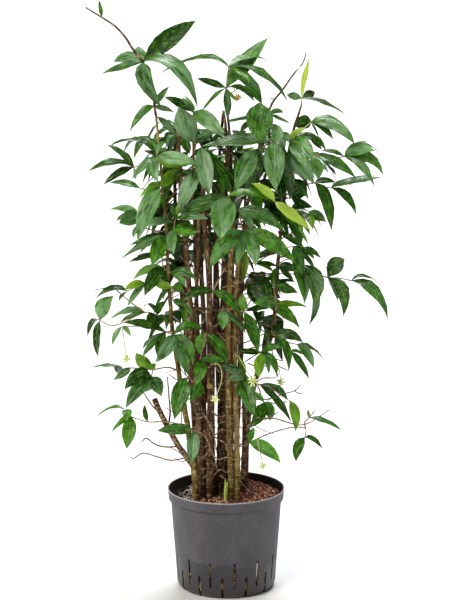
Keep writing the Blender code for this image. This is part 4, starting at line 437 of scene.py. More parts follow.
# spray: the group it grows from, how far its twigs turn rearwards per cm from there, what its
# leaves are by the kind's first letter, its twigs as routes (x, z, y), and its whorls.  A whorl
# is a twig point with its leaves, each (x, z half-way along the outer edge, tip x, z, tip depth
# from the whorl, width shown).
leafySprays = {
    "crown_left": ("left_cane", 0.35, "dsdssspdssb",
        [[(-12.8, 90.2, -2), (-13, 91.4, -2), (-13.6, 96.8, -2), (-15, 99.4, -2)],
         [(-15, 99.4, -2), (-17, 102, -2), (-18.1, 103.8, -2), (-20, 105.9, -2),
          (-22.4, 107.5, -2), (-25.3, 109.3, -2)]],
        [((-15, 99.4, -2), (-9.8, 104.3, -5.4, 106.9, 3, 3.2), (-8.9, 99.6, -5.1, 91, -4, 2.6),
          (-19, 98.7, -22.6, 97.3, -1, 1.1), (-18.6, 101.2, -20.4, 99.4, 5, 2),
          (-15.4, 101.2, -15.8, 102.3, 8, 2), (-15.9, 96.2, -11.6, 91.1, -5, 2.6),
          (-14.2, 98, -13.7, 96.2, -5, 1)),
         ((-13, 91.4, -2), (-15.3, 90.6, -17.6, 86.6, -1, 1.4), (-11.4, 91, -9.4, 90.3, 2, 1),
          (-11.7, 93.5, -10.3, 95, 1, 1.1)),
         ((-22.4, 107.5, -2), (-22.7, 109.2, -22.9, 110.7, 0, 0.7))]),
    "upper_left": ("middle_canes", 0.7, "dppssssss",
        [[(-5.8, 82.6, 1.2), (-5.5, 84.4, -1.5), (-5.5, 87.5, -1.8), (-6, 90.3, -1.5)],
         [(-5.5, 84.4, -1.5), (-7.4, 85.6, -2.2), (-9.2, 86.2, -2.4)]],
        [((-6, 90.3, -1.5), (-8.6, 92.3, -11.3, 93.1, 0, 1.5), (-7.2, 92, -7.9, 93, -4, 1),
          (-6.2, 92, -7.6, 93.4, 4, 0.7), (-3, 89.4, -0.4, 85.6, -5, 2.7)),
         ((-5.5, 84.4, -1.5), (-7.6, 88, -8.6, 91.3, -5, 3.7), (-3.3, 86.3, -1.4, 88, -4, 1.6)),
         ((-9.2, 86.2, -2.4), (-10.8, 88.4, -12.6, 89.5, 0, 1.3),
          (-11.2, 86.2, -10.4, 83.9, -3, 1.4), (-9.4, 84.6, -10.4, 82.8, 1, 0.8))]),
    "centre_top": ("centre_pair", 0.2, "gsfbspddgso",
        [[(0.1, 94.7, 0.4), (0.3, 96.5, 0.2), (0.5, 98.5, 0)]],
        [((0.5, 98.5, 0), (-4.6, 100.4, -12.3, 97.1, 2, 0.7), (4.4, 100.7, 8, 99.4, 5, 0.8),
          (6.6, 98.3, 11.4, 92, 0, 1.1), (3.4, 97.6, 4.3, 95.6, -4, 0.9),
          (4.6, 96.1, 6.6, 92.6, 3, 2)),
         ((0.1, 94.7, 0.4), (3.4, 99.4, 7.7, 103.8, 4, 2.9), (-2.6, 96, -5.3, 96.4, -1, 1.2),
          (3.2, 94.9, 5.2, 92.2, -3, 1), (-2.3, 93, -4.4, 90.4, -1, 0.6),
          (0.3, 92, 0.3, 88.9, -4, 1.3), (2, 92.4, 3.2, 93.3, -1, 0.6))]),
    "front_upper_right": ("dark_cane", 0, "fssd",
        [[(7, 87.4, 1.6), (7.8, 89.9, -2.5), (6.3, 92, -5)]],
        [((6.3, 92, -5), (5.9, 88.6, 6.8, 84.5, -2, 4.6)),
         ((7.8, 89.9, -2.5), (9.4, 91, 10.6, 90.1, 1, 0.9), (10, 89.2, 11.8, 88.2, 1, 0.6),
          (2.6, 89, 0.2, 88.6, 3, 0.6))]),
    "right_top": ("right_cane", 0.5, "ydds", [[(13.85, 92, -0.6), (13.9, 92.8, -0.6)]],
        [((13.9, 92.8, -0.6), (14.9, 96.6, 15.2, 100.4, 0, 0.9), (15.2, 93.6, 16.3, 94, 4, 1.6),
          (17.9, 92.2, 21.9, 89.8, 0, 0.7), (12.4, 93.4, 11.1, 93.4, -3, 1.3))]),
    "right_upper": ("right_cane", 0.9, "ymmsdfmdbi",
        [[(11.6, 83.8, 0.5), (11.7, 85, -2.5)],
         [(11.7, 85, -2.5), (13.6, 86.6, -3.5), (15.6, 88.5, -3.5)]],
        [((11.7, 85, -2.5), (13, 87.2, 14.6, 87.4, -3, 1), (14.3, 84.7, 16.1, 81.3, -4, 3.1),
          (13.5, 83.1, 14.8, 80, -6, 2.1), (13.4, 80.6, 16.3, 77.2, 0, 3.2),
          (15.8, 86.2, 18.4, 83, 3, 1.1)),
         ((15.6, 88.5, -3.5), (19, 89.7, 22.2, 87.4, 1, 1), (20.8, 88.4, 23.6, 84.3, -3, 1.9),
          (18.4, 87.4, 19.7, 85.2, -1, 1.1), (16.2, 87, 17.1, 85.6, -2, 0.4),
          (13.9, 88.7, 12.3, 87.7, 3, 2.4))]),
    "right_mid_upper": ("right_cane", 0.35, "dfipdssfmd",
        [[(11.4, 81, 0.8), (13.5, 82.1, 2), (16.8, 82.3, 1), (19.5, 81.9, 0), (21.7, 82.1, -1)],
         [(13.5, 82.1, 2), (15.2, 81.3, 2.4)]],
        [((16.8, 82.3, 1), (18.3, 82.5, 19.5, 82, 2, 0.7), (20.6, 81.3, 23.9, 78.1, -2, 1.8),
          (19, 80.2, 20.3, 78.6, 2, 0.5)), ((15.2, 81.3, 2.4), (17.3, 80.7, 16.9, 77.8, 0, 2.4)),
         ((21.7, 82.1, -1), (19.8, 83.5, 17.4, 83.1, -1, 0.8), (23.9, 84.6, 27.4, 83.1, -5, 2.2),
          (24, 84.7, 26.2, 84.9, 4, 0.8), (26.8, 82.8, 29, 78.3, 1, 2),
          (24.9, 81.4, 27.4, 76.4, -3, 1.6), (25.4, 84.6, 28.1, 82.6, 2, 0.8))]),
    "right_arm": ("right_cane", 0.7, "ddfdd",
        [[(10.7, 74.6, 1), (13, 76.3, 1), (16.3, 77.2, 0), (17.8, 76.5, -0.5), (19.4, 76.3, -1)]],
        [((16.3, 77.2, 0), (18.2, 78.3, 20.2, 77.3, 2, 1.1), (18.8, 74.8, 19.5, 68.3, -2, 2.1)),
         ((19.4, 76.3, -1), (23.8, 77.9, 28.7, 78.2, 0, 1.3), (22.6, 75.4, 24, 71.3, -2, 1.5),
          (21.6, 77.6, 23.6, 76.3, 3, 0.7))]),
    "centre_upper": ("rear_right_cane", 0, "gsssdsi",
        [[(9.2, 84.8, 0.5), (9.1, 85, -3), (8.8, 84.9, -6)],
         [(9.1, 85, -3), (7.4, 84.2, -5), (5.7, 83.5, -6)]],
        [((8.8, 84.9, -6), (2.5, 85.6, -4.3, 84, -2, 2), (8.8, 81.3, 9.2, 75.7, -4, 3.6),
          (10.2, 86.8, 8.1, 88.2, 0, 2.2), (10.8, 86.6, 11.9, 86, 3, 1.2),
          (11.4, 79.6, 11.8, 74, 1, 2.3)),
         ((5.7, 83.5, -6), (3.2, 80.3, 1.8, 75.5, -4, 3.1), (5.6, 79.6, 3.4, 76, 1, 3))]),
    "centre_left": ("middle_canes", 0, "sds",
        [[(-4.25, 78.4, -0.5), (-5, 80.4, -3.5), (-4.6, 83.8, -4)]],
        [((-4.6, 83.8, -4), (-3.8, 79.6, -3.1, 74.8, -5, 3.1), (-1.3, 79.8, 1.2, 74.9, -1, 2.6)),
         ((-5, 80.4, -3.5), (-7.1, 76.6, -8.8, 71.3, -4, 2.7))]),
    "left_upper": ("left_cane", 0.9, "sssddgsbddds",
        [[(-12.1, 80.8, -3), (-12.7, 82, -5)],
         [(-12.7, 82, -5), (-14.6, 81, -4.5), (-16.8, 80.1, -4.5)]],
        [((-12.7, 82, -5), (-8.8, 82.2, -5.1, 80.6, -3, 2.3), (-15, 80.9, -17.3, 77.9, -3, 1.5),
          (-14.3, 80.6, -12.3, 77.3, -5, 2.2), (-14, 83.2, -15.1, 83.2, 3, 0.7),
          (-14.9, 85.1, -16.6, 83.8, 1, 0.8), (-13.4, 84.4, -13.3, 85.1, 7, 1.6),
          (-11.6, 84.9, -10.5, 83.8, 2, 0.7), (-10.4, 80.5, -8, 79.7, 5, 1.4)),
         ((-16.8, 80.1, -4.5), (-19, 83.3, -21.9, 84.3, 1, 1.2), (-21, 81.4, -25.4, 79.3, -1, 1.1),
          (-19.8, 79.6, -22.5, 76.8, -1, 1.3), (-16.6, 79, -16.7, 77.7, 2, 0.6))]),
    "left_shoulder": ("left_cane", 0, "oosog",
        [[(-11.75, 77, -3.1), (-12.1, 76.6, -5)],
         [(-12.1, 76.6, -5), (-13.6, 75.9, -4), (-15.8, 76.2, -3)]],
        [((-12.1, 76.6, -5), (-14, 76.6, -16, 74.3, -1, 0.9), (-13.6, 77.4, -14.5, 75.8, 1, 1.1),
          (-14.8, 73.4, -16.3, 66.3, -5, 3.1), (-10.4, 78.2, -9.2, 79.8, 5, 2)),
         ((-15.8, 76.2, -3), (-18.6, 77.8, -21.4, 77.2, 0, 1.2))]),
    "left_arm": ("left_cane", 0.5, "sssssd",
        [[(-11, 68.6, -3), (-13, 68.3, -5), (-15.6, 69.3, -6), (-16.1, 71.3, -6)]],
        [((-15.6, 69.3, -6), (-12.8, 70.6, -9.6, 69.9, -1, 1.4),
          (-17.2, 68.4, -17, 66.9, -1, 0.9)),
         ((-16.1, 71.3, -6), (-18.2, 70.6, -19.7, 69.7, -5, 2.7),
          (-18.6, 73.2, -21.5, 72.2, 3, 1.3), (-18.6, 71.3, -20.1, 70.1, 4, 0.6),
          (-13.6, 71.9, -11.9, 71, 3, 0.8))]),
    "left_inner": ("left_pair", 0, "sdbpbg",
        [[(-7.8, 71, -1.1), (-9.2, 70.6, -5.5), (-9.6, 68.5, -7)]],
        [((-9.2, 70.6, -5.5), (-6.4, 71.6, -3.2, 70.5, -2, 1.5), (-10, 71.8, -9.8, 73.1, -3, 1),
          (-8.8, 72.4, -8.3, 73.9, 1, 0.9)),
         ((-9.6, 68.5, -7), (-10.5, 66.6, -9.6, 63.8, -4, 1.8), (-7.3, 67.6, -4.9, 68.2, 0, 1.3),
          (-7.2, 69.5, -5.2, 68.4, 3, 1.1))]),
    "centre_spray": ("golden_pair", 0, "dspo", [[(1.1, 73.8, -2.8), (0.2, 74.6, -6)]],
        [((0.2, 74.6, -6), (-4.4, 73.8, -8.5, 71.7, 0, 2.6), (-0.8, 70.9, -1, 66.6, -6, 4.3),
          (2.2, 71.4, -0.8, 67.1, -3, 1), (4.4, 75.9, 8.6, 73.6, 1, 1.2))]),
    "centre_right": ("golden_pair", 0, "mfspms",
        [[(2.95, 67.4, -2.6), (3.1, 68.3, -6), (2.6, 71, -6), (2.5, 72.5, -5)]],
        [((3.1, 68.3, -6), (-0.7, 66.9, -3, 61.1, -4, 3), (8.3, 67.3, 13, 62.1, -3, 2.9),
          (5.6, 65.6, 5.5, 61.6, -6, 2.6), (2.9, 65.6, 2, 62.1, -2, 1.9)),
         ((2.5, 72.5, -5), (7, 72.3, 10.9, 68, -2, 2.3), (4.4, 70.8, 4.7, 68.3, 2, 1.5))]),
    "yellow_spray": ("rear_right_cane", 0, "yybdid",
        [[(7.3, 75, 3.1), (8.6, 74.6, -1), (9, 73.7, -5)],
         [(8.6, 74.6, -1), (10.6, 74.4, 2.6), (12.1, 74.4, 3.4)]],
        [((9, 73.7, -5), (7.3, 76.4, 4.6, 77.2, -2, 1.5), (11.7, 72.2, 15.7, 68.3, -3, 1.8),
          (12.2, 70.6, 15.2, 65.7, 2, 1.3), (12.9, 69.3, 13.8, 64.9, 4, 1.4)),
         ((12.1, 74.4, 3.4), (13.1, 76, 15, 74.9, 1, 2.3), (14, 73.2, 16, 72.7, -1, 1.4))]),
    "right_lower_arm": ("right_cane", 0, "dbddd",
        [[(10, 66.6, 1), (12, 67.8, 1), (14, 70, 1.4), (14.9, 71.2, 2)],
         [(12, 67.8, 1), (13.2, 66, -1), (14.3, 65.1, -2)]],
        [((14.9, 71.2, 2), (16.6, 71.9, 18.5, 69.9, 1, 1.9), (16.1, 70.6, 16, 68.6, -3, 1.3)),
         ((14.3, 65.1, -2), (16, 64.9, 17.6, 63.1, 0, 1), (12.7, 66.7, 11, 67.8, -2, 0.8),
          (15.4, 64.2, 16.4, 62.9, 3, 0.8))]),
    "left_middle": ("left_cane", 0.8, "bdssdpdgp",
        [[(-10.65, 60.8, -2.6), (-11.5, 61.3, -4.8), (-11.8, 63.4, -5), (-11.3, 67.2, -5)],
         [(-11.5, 61.3, -4.8), (-10.2, 60.4, -5)]],
        [((-11.3, 67.2, -5), (-12.7, 65, -13.7, 61.7, -3, 2.7), (-14.2, 67.2, -17.8, 65.6, 2, 1.4),
          (-15.2, 65.7, -19.6, 62.9, 0, 1.3)),
         ((-11.8, 63.4, -5), (-14.8, 63.9, -16.6, 63.6, 3, 0.9),
          (-15.4, 63.3, -18.1, 62.4, 1, 0.9)),
         ((-11.5, 61.3, -4.8), (-14.6, 61.9, -17.3, 59, -2, 1.5),
          (-13.8, 59.8, -15.1, 56, -5, 2.5)),
         ((-10.2, 60.4, -5), (-7.8, 61.4, -5.4, 59.1, -2, 1.5),
          (-8.6, 59.8, -7.5, 57.7, -4, 1.1))]),
    "left_inner_low": ("left_cane", 0, "oodgb",
        [[(-10.3, 56.5, -2.6), (-9.9, 57.6, -5.4), (-9.9, 55.2, -6)]],
        [((-9.9, 57.6, -5.4), (-11.6, 58.2, -13.4, 58.3, 4, 1.5), (-9, 58.2, -7.8, 56.8, 3, 1.6)),
         ((-9.9, 55.2, -6), (-8.4, 55, -7, 53.2, -1, 1.3), (-7.2, 54.2, -6.2, 51.8, 1, 0.9),
          (-8, 53.2, -7.6, 50.8, -1, 0.6))]),
    "left_low_arm": ("left_cane", 0, "osdsd",
        [[(-10.5, 59, -2.6), (-12.6, 58.7, -2), (-15, 58.5, -3), (-18.3, 56.9, -3)]],
        [((-15, 58.5, -3), (-17, 58.7, -18.9, 57, -3, 1.3), (-16.8, 56.6, -18.3, 54, -3, 1.2)),
         ((-18.3, 56.9, -3), (-21.2, 57.8, -24.2, 55.5, 0, 1), (-22.4, 57.5, -24.8, 56.8, 3, 0.4),
          (-19.4, 56.2, -19.8, 55.1, 2, 0.6))]),
    "left_long_arm": ("left_cane", 0.25, "sddsddggd",
        [[(-10.1, 51.3, -2.6), (-12.8, 52.3, -4), (-15.1, 52.9, -4.5), (-19, 51, -4.5),
          (-21.4, 50.4, -4.5), (-23.4, 51.4, -4.5)],
         [(-15.1, 52.9, -4.5), (-17, 54.3, -4), (-18.5, 55.5, -4), (-21.1, 57.9, -4)]],
        [((-23.4, 51.4, -4.5), (-23.7, 54.4, -20.8, 56, -3, 2.7), (-24.9, 51.6, -25.8, 48.3, 2, 1),
          (-24.6, 48.2, -23.8, 44.3, -2, 1.4)),
         ((-15.1, 52.9, -4.5), (-18.3, 53.7, -21.7, 51.5, 2, 1.1),
          (-17.4, 52.7, -19.7, 50.9, -3, 0.8)),
         ((-12.8, 52.3, -4), (-14.3, 52, -14, 50.2, -5, 2), (-13, 53.8, -11.2, 55.1, 3, 1.3),
          (-14.1, 54.6, -15.4, 53.9, 3, 0.6), (-11.8, 52.3, -10.4, 50.8, -5, 1.1))]),
    "left_hip": ("left_cane", 0, "ssgssdsgsd",
        [[(-9.9, 49.4, -2.6), (-11.2, 49.2, -5), (-15.4, 50.2, -5.5), (-19.3, 50.2, -5.5)],
         [(-11.2, 49.2, -5), (-9.7, 48.6, -6)]],
        [((-19.3, 50.2, -5.5), (-20.8, 48.8, -21.2, 46.6, -1, 0.9),
          (-18.3, 49.9, -17.7, 48.3, -2, 0.9)),
         ((-11.2, 49.2, -5), (-15.2, 51.3, -19, 50.9, -3, 1.5), (-14.2, 47.8, -15.5, 45.9, 2, 0.6),
          (-14.2, 47, -15.6, 44.3, -2, 1.1), (-12.6, 46.6, -12.8, 44.5, -4, 1.5)),
         ((-9.7, 48.6, -6), (-10.6, 46.3, -13.2, 43.3, -5, 2.4), (-6.6, 47, -6.2, 42.8, -3, 2.3),
          (-8, 44.6, -7.1, 40.9, -1, 2.1), (-7.4, 51.2, -4.2, 49.4, 0, 1.5))]),
    "front_spray": ("middle_canes", 0, "dd",
        [[(-3.1, 55, -1.5), (-2.4, 56.9, -6)],
         [(-2.4, 56.9, -6), (-1.2, 59.3, -5.5), (0, 61.6, -4.5)]],
        [((-2.4, 56.9, -6), (-5.2, 57.6, -8, 55.1, -2, 1.6), (0.6, 56.4, 2.9, 52.1, -3, 1.8))]),
    "front_low": ("golden_pair", 0, "ssdo",
        [[(0.55, 51.6, -2.6), (-0.8, 53.2, -6), (1.5, 53.6, -5.5), (3.4, 53, -4.5)]],
        [((-0.8, 53.2, -6), (-0.3, 51.4, -0.6, 49.6, -4, 1.9), (2, 51.9, 3.8, 48.8, -3, 1.1)),
         ((3.4, 53, -4.5), (5.4, 49.6, 6, 45.1, -2, 2.2), (3, 54.8, 3.1, 56.6, 2, 1.5))]),
    "right_middle": ("right_cane", 0.8, "bgddggddddgd",
        [[(9.1, 53, 1.2), (9.4, 54.4, -2.5), (8.9, 58, -2.5), (9.6, 61.5, -2.5)]],
        [((9.4, 54.4, -2.5), (12.2, 55, 15, 53.9, 0, 1), (11.9, 52.9, 13.7, 49.8, -2, 1.2),
          (6.6, 53.2, 3.7, 53.1, 0, 0.8), (6.8, 56.6, 4.3, 57.9, 3, 2.8),
          (7.6, 55.4, 5, 54.6, -2, 2.2)),
         ((8.9, 58, -2.5), (11.2, 58, 13.2, 56.5, 2, 1.4), (7.4, 59, 7.6, 56.4, -4, 1.8),
          (11.4, 59.2, 13.2, 58.4, 1, 0.7)),
         ((9.6, 61.5, -2.5), (11.7, 62.1, 13, 60.6, 0, 1.6), (11.6, 60.3, 12.6, 58.6, -1, 0.7),
          (8.8, 60, 8.7, 57.7, -4, 1.1), (7.2, 62.6, 5.2, 62.1, 0, 0.8))]),
    "right_long_arm": ("right_cane", 0.4, "gssffdfd",
        [[(9.75, 63.4, 1), (12.5, 63.4, 0), (14.5, 61.9, -1), (16.5, 60.5, -1), (18.8, 59.5, -1),
          (21, 59.4, -1), (23.3, 58.9, -1)]],
        [((14.5, 61.9, -1), (18.1, 59.2, 16.2, 54.1, -4, 3), (17.2, 56.8, 15.4, 50.4, 2, 1.3),
          (15.2, 58.4, 14.5, 54.4, -1, 1.4)),
         ((18.8, 59.5, -1), (20.3, 62.6, 22, 62.9, -2, 2.9), (22.4, 57.8, 21.8, 52.1, -4, 2.3),
          (20.2, 57.9, 20.8, 55, 1, 0.8)),
         ((23.3, 58.9, -1), (28.2, 57.7, 30.1, 51.5, -1, 2), (25.8, 60.1, 28.8, 57.9, 2, 0.5))]),
    "right_low": ("right_cane", 0.9, "ddiisdog",
        [[(8.7, 48.9, 1.5), (9.2, 48.4, -2.5), (11.2, 47.3, -3), (13.2, 46.8, -3)],
         [(11.2, 47.3, -3), (12, 45.5, -3.4)]],
        [((9.2, 48.4, -2.5), (11.8, 49.7, 14.4, 47.1, -1, 1.9), (11.6, 46.6, 11.7, 41.6, -4, 1.6),
          (9.7, 45.8, 10.6, 43.5, 1, 1.1), (9.4, 50.4, 10.8, 51.2, 5, 1.9)),
         ((13.2, 46.8, -3), (15.6, 45.7, 16.4, 42.2, -2, 1.6), (16.4, 46.3, 18.6, 43.1, 1, 0.6)),
         ((12, 45.5, -3.4), (13.5, 45.5, 14.9, 44.6, 2, 0.6), (14.4, 43.2, 15.5, 40.1, -1, 1.2))]),
    "right_hip": ("right_cane", 0, "dssbdi", [[(6.8, 44.4, 2.4), (6.7, 45.2, -4)]],
        [((6.7, 45.2, -4), (8.6, 47, 10.4, 46.2, -2, 1.3), (9, 44.4, 9.5, 40.6, -3, 1.4),
          (7.9, 43.2, 8, 41.1, 1, 0.9), (5.9, 42.8, 6.2, 40.3, -4, 1.9),
          (4.2, 45.4, 1.9, 45.6, 0, 1.1), (8.2, 47.9, 7.1, 49.7, 2, 1.3))]),
    "centre_low": ("middle_canes", 0, "dbgb",
        [[(-3.05, 48.2, -1.6), (-3.7, 48.8, -5.5), (-4.3, 46, -5.5), (-4.9, 43.8, -5.5)]],
        [((-3.7, 48.8, -5.5), (-0.9, 47, 0.2, 42.8, -3, 1.9), (-5.6, 47.4, -4.6, 44.6, 2, 1.9)),
         ((-4.9, 43.8, -5.5), (-2.4, 44.4, 0.1, 43.5, 0, 1.3),
          (-4.2, 42.2, -5.7, 38.9, -3, 2.2))]),
    "centre_low_right": ("golden_pair", 0, "dsdgb", [[(2, 41.6, -2.4), (3.7, 41, -6.5)]],
        [((3.7, 41, -6.5), (1.2, 42.2, -1.3, 42.8, 2, 1.7), (1.9, 40.3, 0.1, 40, -4, 1.3),
          (2.8, 38.9, 2.2, 36.6, -2, 1.5), (3.9, 36.8, 5.4, 32.8, -5, 2.7),
          (2.9, 43.4, 1.9, 44.9, 1, 0.8))]),
    "left_low": ("left_cane", 0.7, "dsffoosgs",
        [[(-8.85, 42, -2.6), (-11, 42.4, -4), (-13.7, 42, -4.5), (-17.8, 42.3, -4.5),
          (-19.2, 42.1, -4.5)], [(-13.7, 42, -4.5), (-13.9, 40.6, -5)]],
        [((-13.9, 40.6, -5), (-16.6, 42, -19, 38.1, -3, 2.8), (-16.9, 38.6, -18.8, 34.5, -4, 2.4),
          (-12.9, 39.4, -12.1, 36.8, 0, 2.4), (-13.6, 38.6, -15.4, 37.6, 4, 1.6)),
         ((-13.7, 42, -4.5), (-15.9, 43.3, -16.8, 45.2, -3, 2.2),
          (-14.2, 43.8, -13.2, 41.6, -5, 1.5)),
         ((-19.2, 42.1, -4.5), (-22.4, 43, -25.2, 42.3, 1, 0.6),
          (-20.2, 41.7, -20.9, 42.6, -4, 1.4)),
         ((-17.8, 42.3, -4.5), (-19.2, 41.2, -21.1, 39.9, -3, 1.3))]),
    "left_foot": ("left_cane", 0.5, "gbbgd",
        [[(-7.1, 30.7, -2.9), (-9, 31.5, -4.8), (-12, 31.9, -4.8), (-14.7, 31.9, -4.8),
          (-17.8, 32.9, -4.8), (-19, 34.2, -4.4)]],
        [((-17.8, 32.9, -4.8), (-19.6, 32.4, -21.6, 29.8, 1, 1),
          (-18.3, 30, -18.7, 26.6, -3, 2.5)),
         ((-19, 34.2, -4.4), (-18.3, 34, -18.7, 32, -3, 1.8), (-21.6, 34.7, -24.5, 32.6, 1, 0.5)),
         ((-14.7, 31.9, -4.8), (-15.4, 33.6, -15.2, 35.3, 1, 0.9))]),
    "left_low_inner": ("left_pair", 0, "gg",
        [[(-5.7, 40, -1.1), (-6.2, 40.4, -5), (-7.6, 40.4, -7)],
         [(-6.2, 40.4, -5), (-4.6, 39.5, -6)]],
        [((-7.6, 40.4, -7), (-8.7, 37.2, -9.7, 32.3, -4, 3.1)),
         ((-4.6, 39.5, -6), (-5.3, 38, -6.8, 35.6, -3, 2))]),
    "left_low_pair": ("middle_canes", 0, "gs",
        [[(-3.1, 25.4, -1.9), (-3, 26.4, -4.4), (-3.6, 28.4, -4.8), (-4.6, 29.6, -5),
          (-6, 30.2, -5)]],
        [((-6, 30.2, -5), (-9.5, 30.9, -13, 30.1, -1, 2), (-6.2, 27.2, -6.6, 23.7, -3, 2.3))]),
    "right_foot_upper": ("right_cane", 0.6, "ddogdg",
        [[(4.8, 36.4, 3.7), (6.4, 37.4, 1), (6, 39.1, -4), (8.5, 38.3, -4), (10.3, 37, -4),
          (11.9, 36, -4)], [(6.4, 37.4, 1), (7.1, 35.7, -1.5)],
         [(4.8, 36.4, 3.7), (6.4, 33, 2.2), (9.3, 32.5, 1.4), (12.5, 31.5, 0), (14.2, 31.3, -1),
          (16.2, 32, -1), (19.3, 34.2, -1)]],
        [((6, 39.1, -4), (9.4, 39, 11.6, 36, 3, 1.2), (9.4, 37.2, 12.2, 31.8, -4, 1.2)),
         ((11.9, 36, -4), (13.6, 33.6, 13, 30, -1, 1.8)),
         ((7.1, 35.7, -1.5), (8.7, 34.4, 8.2, 32, -1, 1.9), (6.8, 33.2, 4.4, 30.7, -3, 2.2),
          (5.9, 37, 4.8, 37.9, -2, 1))]),
    "right_foot": ("dark_canes", 0.35, "gfddgd",
        [[(-0.8, 28.2, 0.4), (-0.2, 27.9, -2.2), (-0.25, 27.6, -4.4), (1.2, 27.3, -4.8),
          (4.3, 27.9, -5), (7.4, 29.3, -5), (9.9, 30.2, -5), (12.5, 30.8, -5), (14.9, 30.6, -5),
          (14.8, 28.8, -5)],
         [(14.9, 30.6, -5), (14.8, 31.9, -5), (15.5, 32.6, -5), (16.6, 34, -5)]],
        [((4.3, 27.9, -5), (4.6, 29.5, 5.3, 30.8, -2, 1.2), (7.8, 27.5, 10.3, 23.8, -3, 2.3)),
         ((14.8, 28.8, -5), (13, 27.2, 13.2, 24.1, -2, 1.9), (16.6, 28.9, 18.2, 26.5, 1, 0.9)),
         ((15.5, 32.6, -5), (15.5, 33.5, 15.3, 34.3, 2, 0.6), (18.8, 32.4, 21.9, 30.1, 0, 0.9))]),
}

# the pruned branch and its side twigs: route, foot and top radius in cm
prunedBranch = [
    ([(-6.35, 23.4, -3), (-7.5, 25.2, -2.2), (-9, 27.3, -2), (-10.6, 30.2, -1.8), (-12, 33, -1.6),
      (-12.9, 35, -1.6), (-13.4, 36.3, -1.6)], 0.55, 0.55),
    ([(-8.9, 27.1, -2), (-11.3, 27, -2.6), (-13.3, 27.5, -2.8), (-15, 28.7, -2.8),
      (-15.9, 27.9, -2.8)], 0.16, 0.12),
    ([(-7.3, 25, -2.2), (-10.3, 24.4, -2), (-13, 25.1, -2), (-15.6, 25.8, -2), (-17.3, 24.8, -2),
      (-18, 25, -2)], 0.14, 0.1),
    ([(-10.9, 30.8, -1.8), (-10.5, 33.6, -1.4), (-10.7, 37, -1), (-10.95, 40.6, -1)], 0.2, 0.12),
    ([(-12.3, 33.6, -1.6), (-13.8, 35, -1.6), (-15.6, 37.8, -1.2)], 0.15, 0.12),
]

# flower ball: what its stalk hangs from, its radius in metres, the stalk's route to the ball
flowerStalks = {
    "flower_ball_left": ("left_hip", 0.0085,
        [(-19.3, 49.8, -5.6), (-18.9, 47, -5.6), (-18.6, 44.1, -5.6)]),
    "flower_ball_low": ("middle_canes", 0.009,
        [(-2.7, 43.2, -1.9), (-1.3, 42.9, -9), (-0.8, 40.2, -9.5), (-2, 36.3, -9.5)]),
    "flower_ball_centre": ("golden_pair", 0.0115,
        [(1.9, 45.5, -2.1), (2.4, 44.4, -8), (3.6, 42.2, -10), (5, 39.8, -10)]),
    "flower_ball_right": ("right_hip", 0.0085,
        [(6.8, 44.9, -4.2), (9.6, 42.6, -1), (10.3, 39.6, -0.5)]),
    "flower_ball_foot": ("right_foot", 0.0085,
        [(5.9, 28.5, -5.1), (6.3, 26.4, -5.4), (7, 23.3, -5.4)]),
}

# rear foliage: the group it grows from, where its branch leaves the cane, and its whorls
rearBranches = {
    "rear_left_foliage": ("rear_left_cane", (-8.6, 84, 11.6),
        [(-8.5, 87, 14), (-13, 84, 12), (-9, 77, 16)]),
    "rear_centre_foliage": ("rear_pair", (-1, 76, 10.8),
        [(-1, 80, 15), (3.5, 74, 15), (-4, 68, 15)]),
    "rear_right_foliage": ("rear_pair", (7.5, 79, 12.6),
        [(8, 84, 15.5), (12.5, 80, 14), (10, 70, 15)]),
}

# the same sight lines and candidate depths as the planned solids
standpoint = Vector((0.0215, -4.2, 1.433))
bedLevel, footLevel = 12, 0.128     # a cane's first planned height in cm, and its solid's foot
atCorner = 0.00006      # this near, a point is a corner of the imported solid
turnTries = (0, 1, -1, 2, -2, 3, -3)
leafTries = sorted(((a, b) for a in turnTries + (4.5, -4.5, 6, -6) for b in turnTries),
                   key=lambda pair: abs(pair[0]) + abs(pair[1]))
shiftTries = (0, -0.6, 0.6, -1.2, 1.2, -1.8, 1.8, -2.4, 2.4, -3.2, 3.2, -4, 4, -5, 5)
knotWays = [Vector(way) * 0.0038 for way in ((1, 0.1, 0), (-0.1, 1, 0), (-1, -0.1, 0),
                                             (0.1, -1, 0), (0, 0, 1), (0, 0, -1))]


def onPlan(x, z, y):
    flat = Vector((x * cm, 0, z * cm))
    return standpoint + (flat - standpoint) * ((y * cm - standpoint.y) / -standpoint.y)


def smoothed(points, steps):
    ends = [points[0] * 2 - points[1]] + points + [points[-1] * 2 - points[-2]]
    curve = []
    for a, b, c, d in zip(ends, ends[1:], ends[2:], ends[3:]):
        for step in range(steps):
            t = step / steps
            curve.append(0.5 * (2 * b + (c - a) * t + (2 * a - 5 * b + 4 * c - d) * t ** 2
                                + (3 * b - a - 3 * c + d) * t ** 3))
    return curve + [points[-1]]


def treeOf(points):     # to find the nearest of these points
    tree = kdtree.KDTree(len(points))
    for k, point in enumerate(points):
        tree.insert(point, k)
    tree.balance()
    return tree


def solidTree(name):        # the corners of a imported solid
    return treeOf([corner.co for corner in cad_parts[name].data.vertices])


def found(tree, points):
    return sum(tree.find(point)[2] < atCorner for point in points)


# a leaf is (base, middle, tip, side, width): the places that its middle line passes, the way
# across it and how wide it is
def sideOf(base, tip, shown, width):
    along = (tip - base).normalized()
    flat = along.cross(((base + tip) * 0.5 - standpoint).normalized())
    if flat.length < 0.35:      # it points at the viewer, and lies level
        side = along.cross(up).normalized()
    else:
        flat.normalize()
        deep = along.cross(flat).normalized()
        turn = math.acos(min(1.0, shown / width))
        side = max((flat * math.cos(turn) + deep * math.sin(turn) * way for way in (1, -1)),
                   key=lambda s: abs(along.cross(s).z))
    return side if (along.cross(side) * -1).z >= 0 else -side


